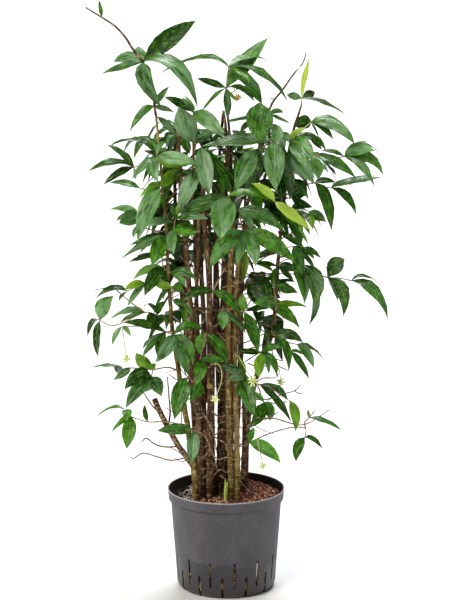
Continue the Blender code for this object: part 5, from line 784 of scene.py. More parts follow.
def stationCorners(leaf):       # the corners that the leaf's plain solid would have
    base, middle, tip, side, width = leaf
    control, corners = middle * 2 - (base + tip) * 0.5, []
    for t, share in ((0.30, 0.94), (0.68, 0.72)):
        point = base.lerp(control, t).lerp(control.lerp(tip, t), t)
        along = (control.lerp(tip, t) - base.lerp(control, t)).normalized()
        across = (side - along * side.dot(along)).normalized()
        keel = across.cross(along) * max(0.0012, width / 2 * share * 0.16)
        half = across * (width / 2 * share)
        corners += [point - half + keel * 0.4, point + half + keel * 0.4, point - keel * 0.6]
    return corners + [tip]


def plannedLeaf(whorl, spec, tipShift=0, middleShift=0):
    midX, midZ, tipX, tipZ, depth, shown = spec
    x, z, y = whorl
    outX, outZ = midX - (x + tipX) / 2, midZ - (z + tipZ) / 2
    arch = math.hypot(outX, outZ)       # the middle line lies inside the planned outer edge
    inward = min(0.5, 0.5 * shown / arch) if arch > 0.05 else 0
    base, tip = onPlan(x, z, y), onPlan(tipX, tipZ, y + depth + tipShift)
    middle = onPlan(midX - outX * inward, midZ - outZ * inward,
                    y + depth * 0.6 + tipShift * 0.5 + middleShift)
    length = (middle - base).length + (tip - middle).length
    width = min(max(shown * cm, 0.28 * length), 0.048)
    return base, middle, tip, sideOf(base, tip, shown * cm, width), width


def packedLeaf(tree, whorl, spec):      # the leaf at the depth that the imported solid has
    best, most = plannedLeaf(whorl, spec), 2
    for shifts in leafTries:
        leaf = plannedLeaf(whorl, spec, *shifts)
        hits = found(tree, stationCorners(leaf))
        if hits > most:
            best, most = leaf, hits
        if hits >= 6:
            break
    return best


def packedShift(tree, whorls):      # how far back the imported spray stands
    def hits(shift):
        return sum(found(tree, [onPlan(x, z, y + shift) + way for way in knotWays])
                   for (x, z, y), *_ in whorls)
    return max(shiftTries, key=hits)


caneLines = {}      # points along the middle of each group's canes, to start a twig from
for group, routes in caneRoutes.items():
    spots = [spot for points, _, _ in routes
             for spot in smoothed([onPlan(*point) for point in points], 12)]
    caneLines[group] = treeOf(spots)


def onCane(carrier, point):     # the nearest place inside the cane that carries a twig
    return caneLines[carrier].find(point)[0].copy() if carrier in caneLines else point


# leaves: one wide, one long blade is shaped row by row, then laid along each leaf's own curve
leafLook = {
    "outline": {0: 0.07, 0.07: 0.30, 0.18: 0.72, 0.33: 0.97, 0.50: 0.98, 0.67: 0.82,
                0.82: 0.50, 0.93: 0.19, 1: 0.012},      # half width at each row
    "across": 4, "thick": 0.0007, "full": 1.08, "fold": (0.22, 0.62), "droop": (0.05, 0.30),
    "wave": 0.09, "waves": (9, 16), "twist": 0.30, "crease": math.radians(62),
    "age": (-0.16, 0.13), "silver": (0.6, 1.0), "dust": (0.4, 1.0),
    "kinds": {      # age (0 young, 1 old and dark), silver bloom that is partly painted sheen, gold flecks
        "green": (0.62, 0.08, 0.25), "young": (0.02, 0.0, 0.0), "bright": (0.42, 0.0, 0.10),
        "olive": (0.28, 0.0, 0.10), "silver": (0.68, 0.75, 0.15), "flecked": (0.66, 0.12, 1.0),
        # pale: a lighter, more silvery leaf, painted light on leaves that would fall dark
        # the darkest of these kinds is painted shade, for leaves deep in the clump
        "inky": (0.84, 0.0, 0.1), "deep": (0.78, 0.0, 0.2), "pale": (0.44, 0.65, 0.1),
        "marbled": (0.62, 0.50, 0.9)},
}
kindOf = {kind[0]: kind for kind in leafLook["kinds"]}


def masterLeaf():
    outline = leafLook["outline"]
    rows = list(outline)
    bpy.ops.mesh.primitive_grid_add(x_subdivisions=leafLook["across"],
                                    y_subdivisions=len(rows) - 1, size=1, location=(0, 0.5, 0))
    blade = bpy.context.object
    bpy.ops.object.transform_apply(location=True)
    for k, row in enumerate(rows):
        level = k / (len(rows) - 1)
        selectCorners(blade, lambda place: abs(place.y - level) < 1e-4)
        edit()
        bpy.ops.transform.resize(value=(2 * outline[row], 1, 1), center_override=(0, level, 0))
        leaveEdit()
    for corner in blade.data.vertices:
        corner.co.y = rows[round(corner.co.y * (len(rows) - 1))]
    wall = blade.modifiers.new("wall", "SOLIDIFY")
    wall.thickness, wall.offset = 1.0, 0
    bpy.ops.object.modifier_apply(modifier="wall")
    for corner in blade.data.vertices:      # both sides of the blade meet at its outline
        x, y, _ = corner.co
        edge = abs(x) > 0.99 * outline[min(rows, key=lambda row: abs(row - y))]
        if edge or not 0.001 <= y <= 0.999:
            corner.co.z = 0
    onlySelect(blade)
    edit("SELECT")
    bpy.ops.mesh.remove_doubles(threshold=0.0001)
    leaveEdit()
    return takenShape(blade)


leafCorners, leafFaces = masterLeaf()
print("leaf blade:", len(leafFaces), "faces")


def leafSurface(leaf, kind, dice):
    base, middle, tip, side, width = [np.array(v) if isinstance(v, Vector) else v for v in leaf]
    control = middle * 2 - (base + tip) * 0.5
    a, s, level = (leafCorners[:, k][:, None] for k in range(3))
    s = np.clip(s, 0, 1)
    point = base * (1 - s) ** 2 + control * 2 * s * (1 - s) + tip * s ** 2
    along = (control - base) * (1 - s) + (tip - control) * s
    along /= np.linalg.norm(along, axis=1)[:, None]
    across = side - along * (along @ side)[:, None]
    across /= np.linalg.norm(across, axis=1)[:, None]
    out = np.cross(across, along)
    turn = dice.uniform(-1, 1) * leafLook["twist"] * (s - 0.35)
    across, out = (across * np.cos(turn) + out * np.sin(turn),
                   out * np.cos(turn) - across * np.sin(turn))
    half, share = width * leafLook["full"] / 2, np.abs(a)
    fold, droop = dice.uniform(*leafLook["fold"]), dice.uniform(*leafLook["droop"])
    lift = half * (fold * share * (1 - 0.5 * s) - droop * share ** 2)
    wave = half * leafLook["wave"] * share * np.sin(
        s * dice.uniform(*leafLook["waves"]) + dice.uniform(0, 6.3) + a * 1.5)
    place = point + across * a * half + out * (lift + wave + level * leafLook["thick"])
    length = np.linalg.norm(middle - base) + np.linalg.norm(tip - middle)
    age, silver, dust = leafLook["kinds"][kind]
    tone = [min(1, max(0, age + dice.uniform(*leafLook["age"]))),
            silver * dice.uniform(*leafLook["silver"]), dust * dice.uniform(*leafLook["dust"]),
            dice.random()]
    return place, np.tile(tone, (len(place), 1)), np.hstack([a * half, s * length])


def leafMesh(name, leaves, dice):       # leaves: (leaf, kind)
    places, tones, blades = zip(*[leafSurface(leaf, kind, dice) for leaf, kind in leaves])
    thing = pieceOf(name, [(place, leafFaces) for place in places], leafSkin)
    mesh = thing.data
    mesh.set_sharp_from_angle(angle=leafLook["crease"])
    setAttribute(mesh, "leafTone", np.vstack(tones))
    corners = np.zeros(len(mesh.loops), dtype=np.int32)
    mesh.loops.foreach_get("vertex_index", corners)
    mesh.uv_layers.new(name="blade").data.foreach_set("uv", np.vstack(blades)[corners].ravel())
    return thing


# round bars, for canes, twigs, stalks and roots: each is (points, radii, marks), and a mark is
# the (ring, tone, height) that the rind's pattern reads
def barMesh(name, bars, roundness, material):
    deselectAll()
    bpy.ops.curve.primitive_nurbs_path_add()
    path = bpy.context.object
    path.name = name
    shape = path.data
    shape.splines.clear()
    for points, radii, _ in bars:
        spline = shape.splines.new("POLY")
        spline.points.add(len(points) - 1)
        for spot, point, radius in zip(spline.points, points, radii):
            spot.co, spot.radius = (*point, 1), radius
    shape.dimensions, shape.bevel_depth = "3D", 1.0
    shape.bevel_resolution, shape.use_fill_caps = roundness, True
    bpy.ops.object.convert(target="MESH")
    recalcNormals(path)
    mesh = path.data
    tree = treeOf([point for points, _, _ in bars for point in points])
    marks = [mark for _, _, spots in bars for mark in spots]
    setAttribute(mesh, "bark", [(*marks[tree.find(v.co)[1]], 0) for v in mesh.vertices])
    mesh.materials.append(material)
    mesh.shade_smooth()
    return path


def evenBar(route, radii, tone):        # a bar with no rings
    return route, radii, [(0.0, tone, 0.0)] * len(route)


twigLook = {"foot": 0.00150, "end": 0.00095, "ring": 0.00040, "spacing": 0.022}


def twigBar(points, tone, dice, foot=twigLook["foot"], end=twigLook["end"]):
    route = smoothed(points, 5)
    radii, marks, walked = [], [], dice.uniform(0, 0.02)
    for k, point in enumerate(route):
        walked += (point - route[k - 1]).length if k else 0
        ring = walked > twigLook["spacing"]
        if ring:
            walked = 0
        radii.append(foot + (end - foot) * k / (len(route) - 1) + twigLook["ring"] * ring)
        marks.append((0.6 * ring, tone, 0.0))
    return route, radii, marks


# canes: a ringed rind along each planned route
caneLook = {
    "low": (0.008, 0.019), "high": (0.024, 0.052), "change": 0.40,      # between rings
    "step": 0.014, "wobble": 0.0006, "paleFrom": 0.62, "paleness": (0.3, 0.95),
    "tones": {"dark_canes": (0.0, 0.3), "centre_pair": (0.2, 0.6), "left_pair": (0.3, 0.9),
              "rear_pair": (0.1, 0.5)},
    "golden": ("golden_pair", "left_cane"), "finishes": {"golden_pair": "green_cane"},
    "slim": {"dark_cane": (0.8, 0.5), "dark_canes": (0.6, 0.8)},        # top's share, taper
    "ring": ((-0.0019, 1, 0), (-0.0007, 1.055, 0.3), (0.0003, 1.055, None),
             (0.0010, 0.965, 0.1), (0.0022, 1, 0)),     # step along, radius, how pale
}


def caneBar(points, foot, top, tone, dice, taper=0.8, fade=0.5):
    placed = [onPlan(*point) for point in points]
    if points[0][1] == bedLevel:
        placed[0].z = footLevel
    curve = smoothed(placed, 24)
    route, radii, marks = [], [], []

    def add(point, radius, ring):
        route.append(point)
        radii.append(radius)
        marks.append((ring, tone + max(0, height - caneLook["paleFrom"]) * fade, height))

    walked, nextRing, since = 0.0, dice.uniform(*caneLook["low"]), 1.0
    for k, point in enumerate(curve):
        stride, height = (point - curve[k - 1]).length if k else 0, point.z
        walked, since = walked + stride, since + stride
        radius = (foot + (top - foot) * (k / (len(curve) - 1)) ** taper) * cm
        last = k == len(curve) - 1
        if walked >= nextRing and not last:
            walked = since = 0
            nextRing = dice.uniform(*caneLook["low" if height < caneLook["change"] else "high"])
            way = (curve[k + 1] - curve[k - 1]).normalized()
            drift = Vector((dice.uniform(-1, 1), dice.uniform(-1, 1), 0)) * caneLook["wobble"]
            pale = dice.uniform(0.2, 1.0)
            for step, size, ring in caneLook["ring"]:
                add(point + way * step + drift, radius * size, pale if ring is None else ring)
        elif since > caneLook["step"] or k == 0 or (last and since > 0.004):
            add(point, radius, 0.5 * last)
            since = 0
    return route, radii, marks


dice = random.Random(3)
for name, routes in caneRoutes.items():
    thin, taper = caneLook["slim"].get(name, (1, 0.8))
    fade = 1.6 if name == "left_cane" else 0.5       # how fast a cane pales towards its top
    tones = caneLook["tones"].get(name, caneLook["paleness"])
    bars = [caneBar(points, foot, top * thin, dice.uniform(*tones), dice, taper, fade)
            for points, foot, top in routes]
    bark = goldenBark if name in caneLook["golden"] else brownBark
    finish = caneLook["finishes"].get(name, "cane_bark")
    settle(barMesh(name + "_rind", bars, 3, bark), finish, name)
print("canes grown")


# stems in the thick of the clump: the group each parts from, its route, foot and top radii
innerStems = [
    ("left_pair",
     [(-5.7, 35, 1.4), (-6.6, 42, 2.4), (-7.3, 50, 2.9), (-7.8, 60, 3), (-7.8, 73, 2.6)],
     0.36, 0.3),
    ("left_pair",
     [(-5.2, 34, 1.6), (-5.1, 44, 2.8), (-5.3, 54, 3.2), (-5.7, 64, 3.2), (-5.7, 75, 2.8)],
     0.38, 0.28),
    ("middle_canes",
     [(-3.6, 35, 2), (-3.9, 44, 2.9), (-4, 52, 3.2), (-4.4, 60, 3.3), (-4.6, 70, 3)], 0.36, 0.3),
    ("middle_canes",
     [(-2.6, 35, 0.4), (-2.55, 43, 2), (-2.75, 52, 2.6), (-2.9, 62, 2.8), (-3, 71, 2.6)],
     0.44, 0.34),
    ("dark_canes",
     [(-1.5, 36, 2.2), (-1.75, 44, 2.8), (-1.8, 54, 3), (-1.9, 64, 3), (-1.9, 72, 2.8)],
     0.3, 0.24),
    ("rear_right_cane", [(2.6, 38, 5), (3, 46, 4.6), (3, 56, 4.2), (3.4, 66, 3.8), (3.6, 76, 3.2)],
     0.34, 0.26),
]
bars = []
for carrier, points, foot, top in innerStems:
    route, radii, marks = caneBar(points, foot, top, dice.uniform(0.2, 0.8), dice)
    route[0] = onCane(carrier, route[1])
    bars.append((route, radii, marks))
settle(barMesh("inner_stems", bars, 2, brownBark), "cane_bark")


def woodBar(points, foot, top, dice):       # a bare branch, a little uneven in thickness
    route = smoothed([onPlan(*point) for point in points], 6)
    radii = [(foot + (top - foot) * k / (len(route) - 1)) * cm * dice.uniform(0.94, 1.06)
             for k in range(len(route))]
    return route, radii, [(dice.choice((0, 0, 0.5)), 0.3, 0.5) for _ in route]


settle(barMesh("pruned_branch_rind", [woodBar(*route, dice) for route in prunedBranch], 3,
               brownBark), "cane_bark", "pruned_branch")


def leafy(name, bars, leaves, dice):        # leaves and twigs as one piece
    wood = barMesh(name + "_twigs", bars, 1, twigSkin)
    return joined(name, [leafMesh(name + "_blades", leaves, dice), wood])


# how green or woody a spray's twigs are, and where they are thicker than the rest
sprayLook = {
    "tone": 0.45, "vary": 0.12, "stout": {"crown_left": (0.0026, 0.0015)},
    "tones": {"crown_left": -0.1, "right_top": 0.85, "right_upper": 0.95, "centre_top": 0.75,
              "left_arm": 0.35, "left_low": 0.2, "left_foot": 0.3, "right_foot": 0.2},
}
dice = random.Random(11)
for name, (carrier, lean, kinds, twigs, whorls) in leafySprays.items():
    footX = twigs[0][0][0]
    twigs = [[(x, z, y + lean * abs(x - footX)) for x, z, y in twig] for twig in twigs]
    whorls = [((x, z, y + lean * abs(x - footX)), *specs) for (x, z, y), *specs in whorls]
    tree = solidTree(name)
    shift = packedShift(tree, whorls)
    bars, leaves, tone = [], [], sprayLook["tones"].get(name, sprayLook["tone"])
    for twig in twigs:
        route = [onPlan(x, z, y + shift) for x, z, y in twig]
        if twig[0] == twigs[0][0]:      # it starts on the cane
            route[0] = onCane(carrier, onPlan(*twig[0]))
        shade = tone + dice.uniform(-sprayLook["vary"], sprayLook["vary"])
        bars.append(twigBar(route, shade, dice, *sprayLook["stout"].get(name, ())))
    for (x, z, y), *specs in whorls:
        for spec in specs:
            kind = kindOf[kinds[len(leaves)]]
            leaves.append((packedLeaf(tree, (x, z, y + shift), spec), kind))
    settle(leafy(name + "_leaves", bars, leaves, dice), "leaf", name)
print("sprays grown")


def fanLeaf(whorl, bearing, length, rise, droop, lift=0.0, share=0.30):
    a = math.radians(bearing)
    out = Vector((math.cos(a), math.sin(a), 0))
    middle = whorl + out * length * 0.5 + up * (rise * length + lift)
    tip = whorl + out * length * 0.93 + up * (lift - droop * length)
    side = out.cross(up)
    side = side if ((tip - whorl).cross(side) * -1).z >= 0 else -side
    return whorl, middle, tip, side, share * length


rearLook = {
    "leaves": 5, "apart": 48, "sway": 9, "length": (0.068, 0.098), "rise": (0.02, 0.30),
    "droop": (-0.15, 0.55), "kinds": ("green", "deep", "inky", "bright", "silver"),
    "tones": (0.4, 0.5), "turns": (0, 8, -8, 16, -16, 24, -24),     # tried, in degrees
    "lifts": (0, 0.008, -0.008, 0.016, -0.016, 0.026, -0.026),      # tried, in metres
}


def rearLeaf(tree, whorl, bearing, length, rise, droop):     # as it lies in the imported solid
    tries = [fanLeaf(whorl, bearing + turn, length, rise, droop, lift)
             for turn in rearLook["turns"] for lift in rearLook["lifts"]]
    return max(tries, key=lambda leaf: found(tree, stationCorners(leaf)))


rearDice = random.Random(7)
for name, (carrier, start, points) in rearBranches.items():
    tree, whorls = solidTree(name), [onPlan(*point) for point in points]
    branch, side = rearLook["tones"]
    bars = [twigBar([onCane(carrier, onPlan(*start)), whorls[0]], branch, dice)]
    bars += [twigBar([whorls[0], whorl], side, dice) for whorl in whorls[1:]]
    leaves = []
    for whorl in whorls:
        outward = math.degrees(math.atan2(whorl.y, whorl.x))
        for k in range(rearLook["leaves"]):
            bearing = outward + rearLook["apart"] * (k - (rearLook["leaves"] - 1) / 2)
            bearing += rearDice.uniform(-rearLook["sway"], rearLook["sway"])
            shape = [rearDice.uniform(*rearLook[part]) for part in ("length", "rise", "droop")]
            leaves.append((rearLeaf(tree, whorl, bearing, *shape),
                           rearDice.choice(rearLook["kinds"])))
    settle(leafy(name + "_leaves", bars, leaves, dice), "leaf", name)
print("rear branches grown")


# leafy shoots between the canes, that only the dressed plant has: the cane that carries each,
# its whorl (x, z, y) in cm, leaves, their length in cm, the way they face and how wide they fan
innerShoots = [
    ("left_pair", (-7.5, 84, 3), 5, 8, 110, 230), ("left_pair", (-6.5, 77, 2.2), 5, 8, 150, 190),
    ("middle_canes", (-3.6, 80, 2.6), 5, 8, 60, 240),
    ("dark_canes", (0.8, 82, 2.6), 5, 8.5, 80, 260),
    ("dark_canes", (0.4, 76, 2.4), 5, 8.5, 100, 240),
    ("dark_cane", (5.4, 81, 2.4), 5, 8.5, 40, 230), ("dark_cane", (4.4, 75, 2.4), 5, 8.5, 20, 220),
    ("rear_right_cane", (8.6, 79, 3.5), 5, 8.5, 20, 200),
    ("rear_right_cane", (7, 71, 3.5), 5, 9, 10, 180), ("centre_pair", (2.2, 70, 3), 5, 8, 40, 220),
    ("left_cane", (-9.5, 74, 2), 4, 8, 170, 160), ("left_pair", (-6.8, 68, 2.4), 5, 8, 160, 190),
    ("middle_canes", (-3.2, 71, 2.4), 4, 8, 90, 200), ("right_cane", (9, 70, 2.5), 4, 8, 10, 160),
    ("right_cane", (9.6, 77, 2.5), 5, 8.5, 0, 190), ("left_pair", (-8.4, 60, 3.4), 5, 8, 160, 190),
    ("left_cane", (-9.6, 66, 2), 4, 7.5, 180, 150),
    ("rear_right_cane", (5.6, 57.5, 5.5), 5, 7, 40, 250),
    ("rear_left_cane", (-8.2, 70, 8.5), 5, 8.5, 150, 200),
    ("rear_left_cane", (-7.4, 62, 9), 5, 8, 110, 190),
    ("rear_pair", (6.8, 68, 10.5), 5, 8.5, 50, 200),
    ("rear_pair", (3.6, 55, 10.5), 5, 7.5, 60, 190), ("rear_pair", (-0.6, 61, 10), 5, 8, 95, 190),
    ("rear_pair", (1.4, 72, 10), 5, 8.5, 80, 220),
    ("rear_left_cane", (-5.6, 50, 9), 4, 7.5, 110, 150),
    ("rear_pair", (2.6, 47, 9.4), 4, 7.5, 80, 150),
    ("rear_left_cane", (-8.8, 80, 6.5), 5, 8.5, 170, 210),
    ("rear_pair", (8.4, 79, 7.5), 5, 8.5, 20, 210),
    ("rear_left_cane", (-4.6, 85, 6), 5, 8, 90, 320), ("rear_pair", (2.4, 84, 6.5), 5, 8, 90, 320),
    ("centre_pair", (3.4, 80, 4), 5, 8, 60, 260), ("rear_right_cane", (9.6, 70, 5), 4, 8, 20, 160),
    ("left_pair", (-9, 71, 5), 4, 8, 170, 160), ("left_pair", (-8.6, 50, 3.5), 4, 7, 160, 120),
    ("middle_canes", (-2.2, 65, 3.6), 5, 7.5, 90, 260),
    ("dark_canes", (-0.4, 69, 3.2), 4, 7.5, 90, 200),
    ("rear_right_cane", (5.8, 50, 4.5), 4, 7, 60, 200),
    ("left_pair", (-7, 55, 3.4), 4, 7, 120, 180),
]
# single leaves tucked between them: carrier, (x, z, y), leaves as in the plan, what they are
tuckedLeaves = [
    ("rear_right_cane", (12.2, 76.6, 3), [(13.6, 77.2, 14.9, 74.9, 0, 2.6)], "inky"),
    ("rear_right_cane", (12, 72.4, 3), [(13.6, 73.6, 15.8, 72.8, 0, 1.3)], "inky"),
    ("rear_right_cane", (7, 73.6, 3.4),
     [(9.3, 72.2, 10.6, 69.4, 0, 2), (8.4, 74.6, 11.6, 74.4, 0, 2.2)], "inky"),
    ("right_cane", (10.6, 70.4, 0.8),
     [(13.4, 69, 15.2, 66, -1, 1), (12.6, 69.6, 14.2, 69.3, 0, 1.2)], "inky"),
    ("right_cane", (12.9, 69.2, 0.6), [(13.7, 67.4, 13.6, 65.2, 0, 1.5)], "green"),
    ("right_cane", (9.6, 68.2, 0.8), [(11.6, 67.2, 13.4, 65.4, 0, 1.1)], "green"),
    ("right_cane", (12.4, 65.4, 0),
     [(13.7, 63.2, 14.1, 59.9, -1, 2), (15.1, 63.3, 16.5, 60.9, 0, 0.9),
      (14.9, 64.9, 17.6, 63.4, 0, 0.7)], "green"),
    ("right_cane", (12.1, 63, 0.3), [(14, 59.4, 14.5, 54.9, -1, 1.5)], "green"),
    ("right_cane", (9.9, 61.2, 1),
     [(11.2, 61.9, 13.1, 60.6, 0, 1.4), (11.3, 59.8, 12.7, 58.8, 0, 0.7)], "inky"),
    ("right_cane", (9.8, 57, 1), [(11.4, 57.8, 13.3, 56.6, 0, 1.6)], "green"),
    ("right_cane", (10.2, 54, 1), [(12.6, 54.8, 15.1, 54, 0, 0.9)], "bright"),
    ("rear_right_cane", (4.2, 58.4, 3.6),
     [(6.6, 58, 8.3, 55.4, 0, 3.4), (5.4, 56.2, 6.6, 54, 0, 2.4)], "inky"),
    ("rear_right_cane", (5.8, 56.8, 3.4),
     [(7, 59.4, 8.2, 58.6, 0, 2), (8, 57, 10.2, 55.6, 0, 2.4)], "inky"),
    ("rear_right_cane", (6.4, 55.8, 3), [(10.6, 53.9, 13.7, 50.2, -1, 2.2)], "bright"),
    ("rear_right_cane", (8, 53.9, 3.2), [(5.8, 53.9, 3.4, 53.1, 0, 0.9)], "inky"),
    ("right_cane", (6.6, 50.5, 1.6),
     [(8.8, 51.9, 10.8, 51.2, 0, 2.2), (8.4, 49.2, 10.6, 47, 0, 1.2)], "inky"),
    ("rear_right_cane", (3.9, 64.4, 3.4),
     [(3.8, 61.6, 3.1, 58.8, 0, 1.2), (2.9, 63.8, 2, 62.3, 0, 0.9)], "olive"),
    ("rear_right_cane", (5, 62.2, 3.6), [(7.2, 62.4, 8.9, 60.4, 0, 1)], "olive"),
    ("right_cane", (9.6, 64.4, 1.6), [(7.4, 64.6, 5.4, 63, 0, 1.3)], "inky"),
    ("left_pair", (-9.8, 66.4, 2.6),
     [(-8.6, 64.6, -7, 62, 0, 3), (-7.6, 66.4, -6.2, 66.6, 0, 1.6)], "inky"),
    ("left_pair", (-7.4, 64.4, 2.8), [(-8.6, 62.4, -8.8, 60.6, 0, 1.6)], "inky"),
    ("middle_canes", (-2.8, 68.2, 2.4), [(-3.9, 66.2, -4.3, 63.6, 0, 2)], "inky"),
    ("middle_canes", (-3.6, 70.6, 2.2),
     [(-5, 69.4, -6.2, 67.4, 0, 1.7), (-5.4, 71.6, -7.6, 71.2, 0, 1.4)], "inky"),
    ("dark_canes", (2.4, 65.6, 1.4), [(0.6, 64, -0.9, 61.5, 0, 2)], "inky"),
    ("left_pair", (-7.2, 75, 2.2),
     [(-5.4, 75.6, -3.4, 74.6, 0, 1.8), (-6.2, 73.4, -4.8, 71.6, 0, 1.6)], "inky"),
    ("left_pair", (-5.6, 78.4, 2.2),
     [(-4.4, 77, -4.4, 75, 0, 1.8), (-3.8, 78.8, -2, 78.4, 0, 1.8)], "inky"),
    ("middle_canes", (-2.2, 77.4, 2.2), [(-1.6, 75.8, -1.8, 73.8, 0, 1.5)], "inky"),
    ("left_pair", (-8.8, 73.6, 2.2),
     [(-9.6, 72.6, -9.8, 71, 0, 1.8), (-7.8, 72.8, -6.6, 72.6, 0, 1.2)], "green"),
    ("left_pair", (-6.8, 53.6, 2.6), [(-7.8, 52.4, -7.4, 50.8, 0, 1)], "bright"),
    ("dark_cane", (4.4, 88.6, 1), [(3.4, 87.8, 2.6, 86.6, 0, 1), (5.4, 89.6, 6.6, 89.2, 0, 0.8)],
     "green"),
    ("centre_pair", (3.4, 95, 0.4), [(5.6, 94, 6.7, 91.6, 0, 1.3)], "green"),
    ("left_pair", (-7.8, 85.4, 1.6), [(-7.2, 84.2, -6.6, 82.6, 0, 1.6)], "green"),
    ("right_cane", (15.4, 86.6, 1), [(16.4, 85, 17.6, 83.4, 0, 1.3)], "inky"),
]
# the shoots' leaves take mostly dark kinds: painted shade in the thick of the clump
shootLook = {"sway": 10, "size": (0.82, 1.12), "rise": (0.0, 0.24), "droop": (0.1, 0.60),
             "share": (0.30, 0.38), "kinds": ("inky", "deep", "deep", "deep", "green", "bright"),
             "twig": (0.02, 0.004, 0.35), "tucked": (0.015, 0.003, 0.3, 0.0011, 0.0009)}


def tuckedTwig(carrier, whorl, below, hump, tone, *thick):      # from its cane up to a whorl
    foot = onCane(carrier, whorl - up * below)
    return twigBar([foot, foot.lerp(whorl, 0.5) + up * hump, whorl], tone, dice, *thick)


dice = random.Random(29)
bars, leaves = [], []
for carrier, (x, z, y), count, length, facing, fan in innerShoots:
    whorl = Vector((x, y, z)) * cm
    bars.append(tuckedTwig(carrier, whorl, *shootLook["twig"]))
    for k in range(count):
        bearing = facing + fan * ((k + 0.5) / count - 0.5)
        bearing += dice.uniform(-shootLook["sway"], shootLook["sway"])
        size, rise, droop, share = (dice.uniform(*shootLook[part])
                                    for part in ("size", "rise", "droop", "share"))
        leaves.append((fanLeaf(whorl, bearing, length * cm * size, rise, droop, 0.0, share),
                       dice.choice(shootLook["kinds"])))
for carrier, place, specs, kind in tuckedLeaves:
    bars.append(tuckedTwig(carrier, onPlan(*place), *shootLook["tucked"]))
    leaves += [(plannedLeaf(place, spec), kind) for spec in specs]
settle(leafy("inner_shoots", bars, leaves, dice), "leaf")
print("inner shoots grown:", len(leaves), "leaves")


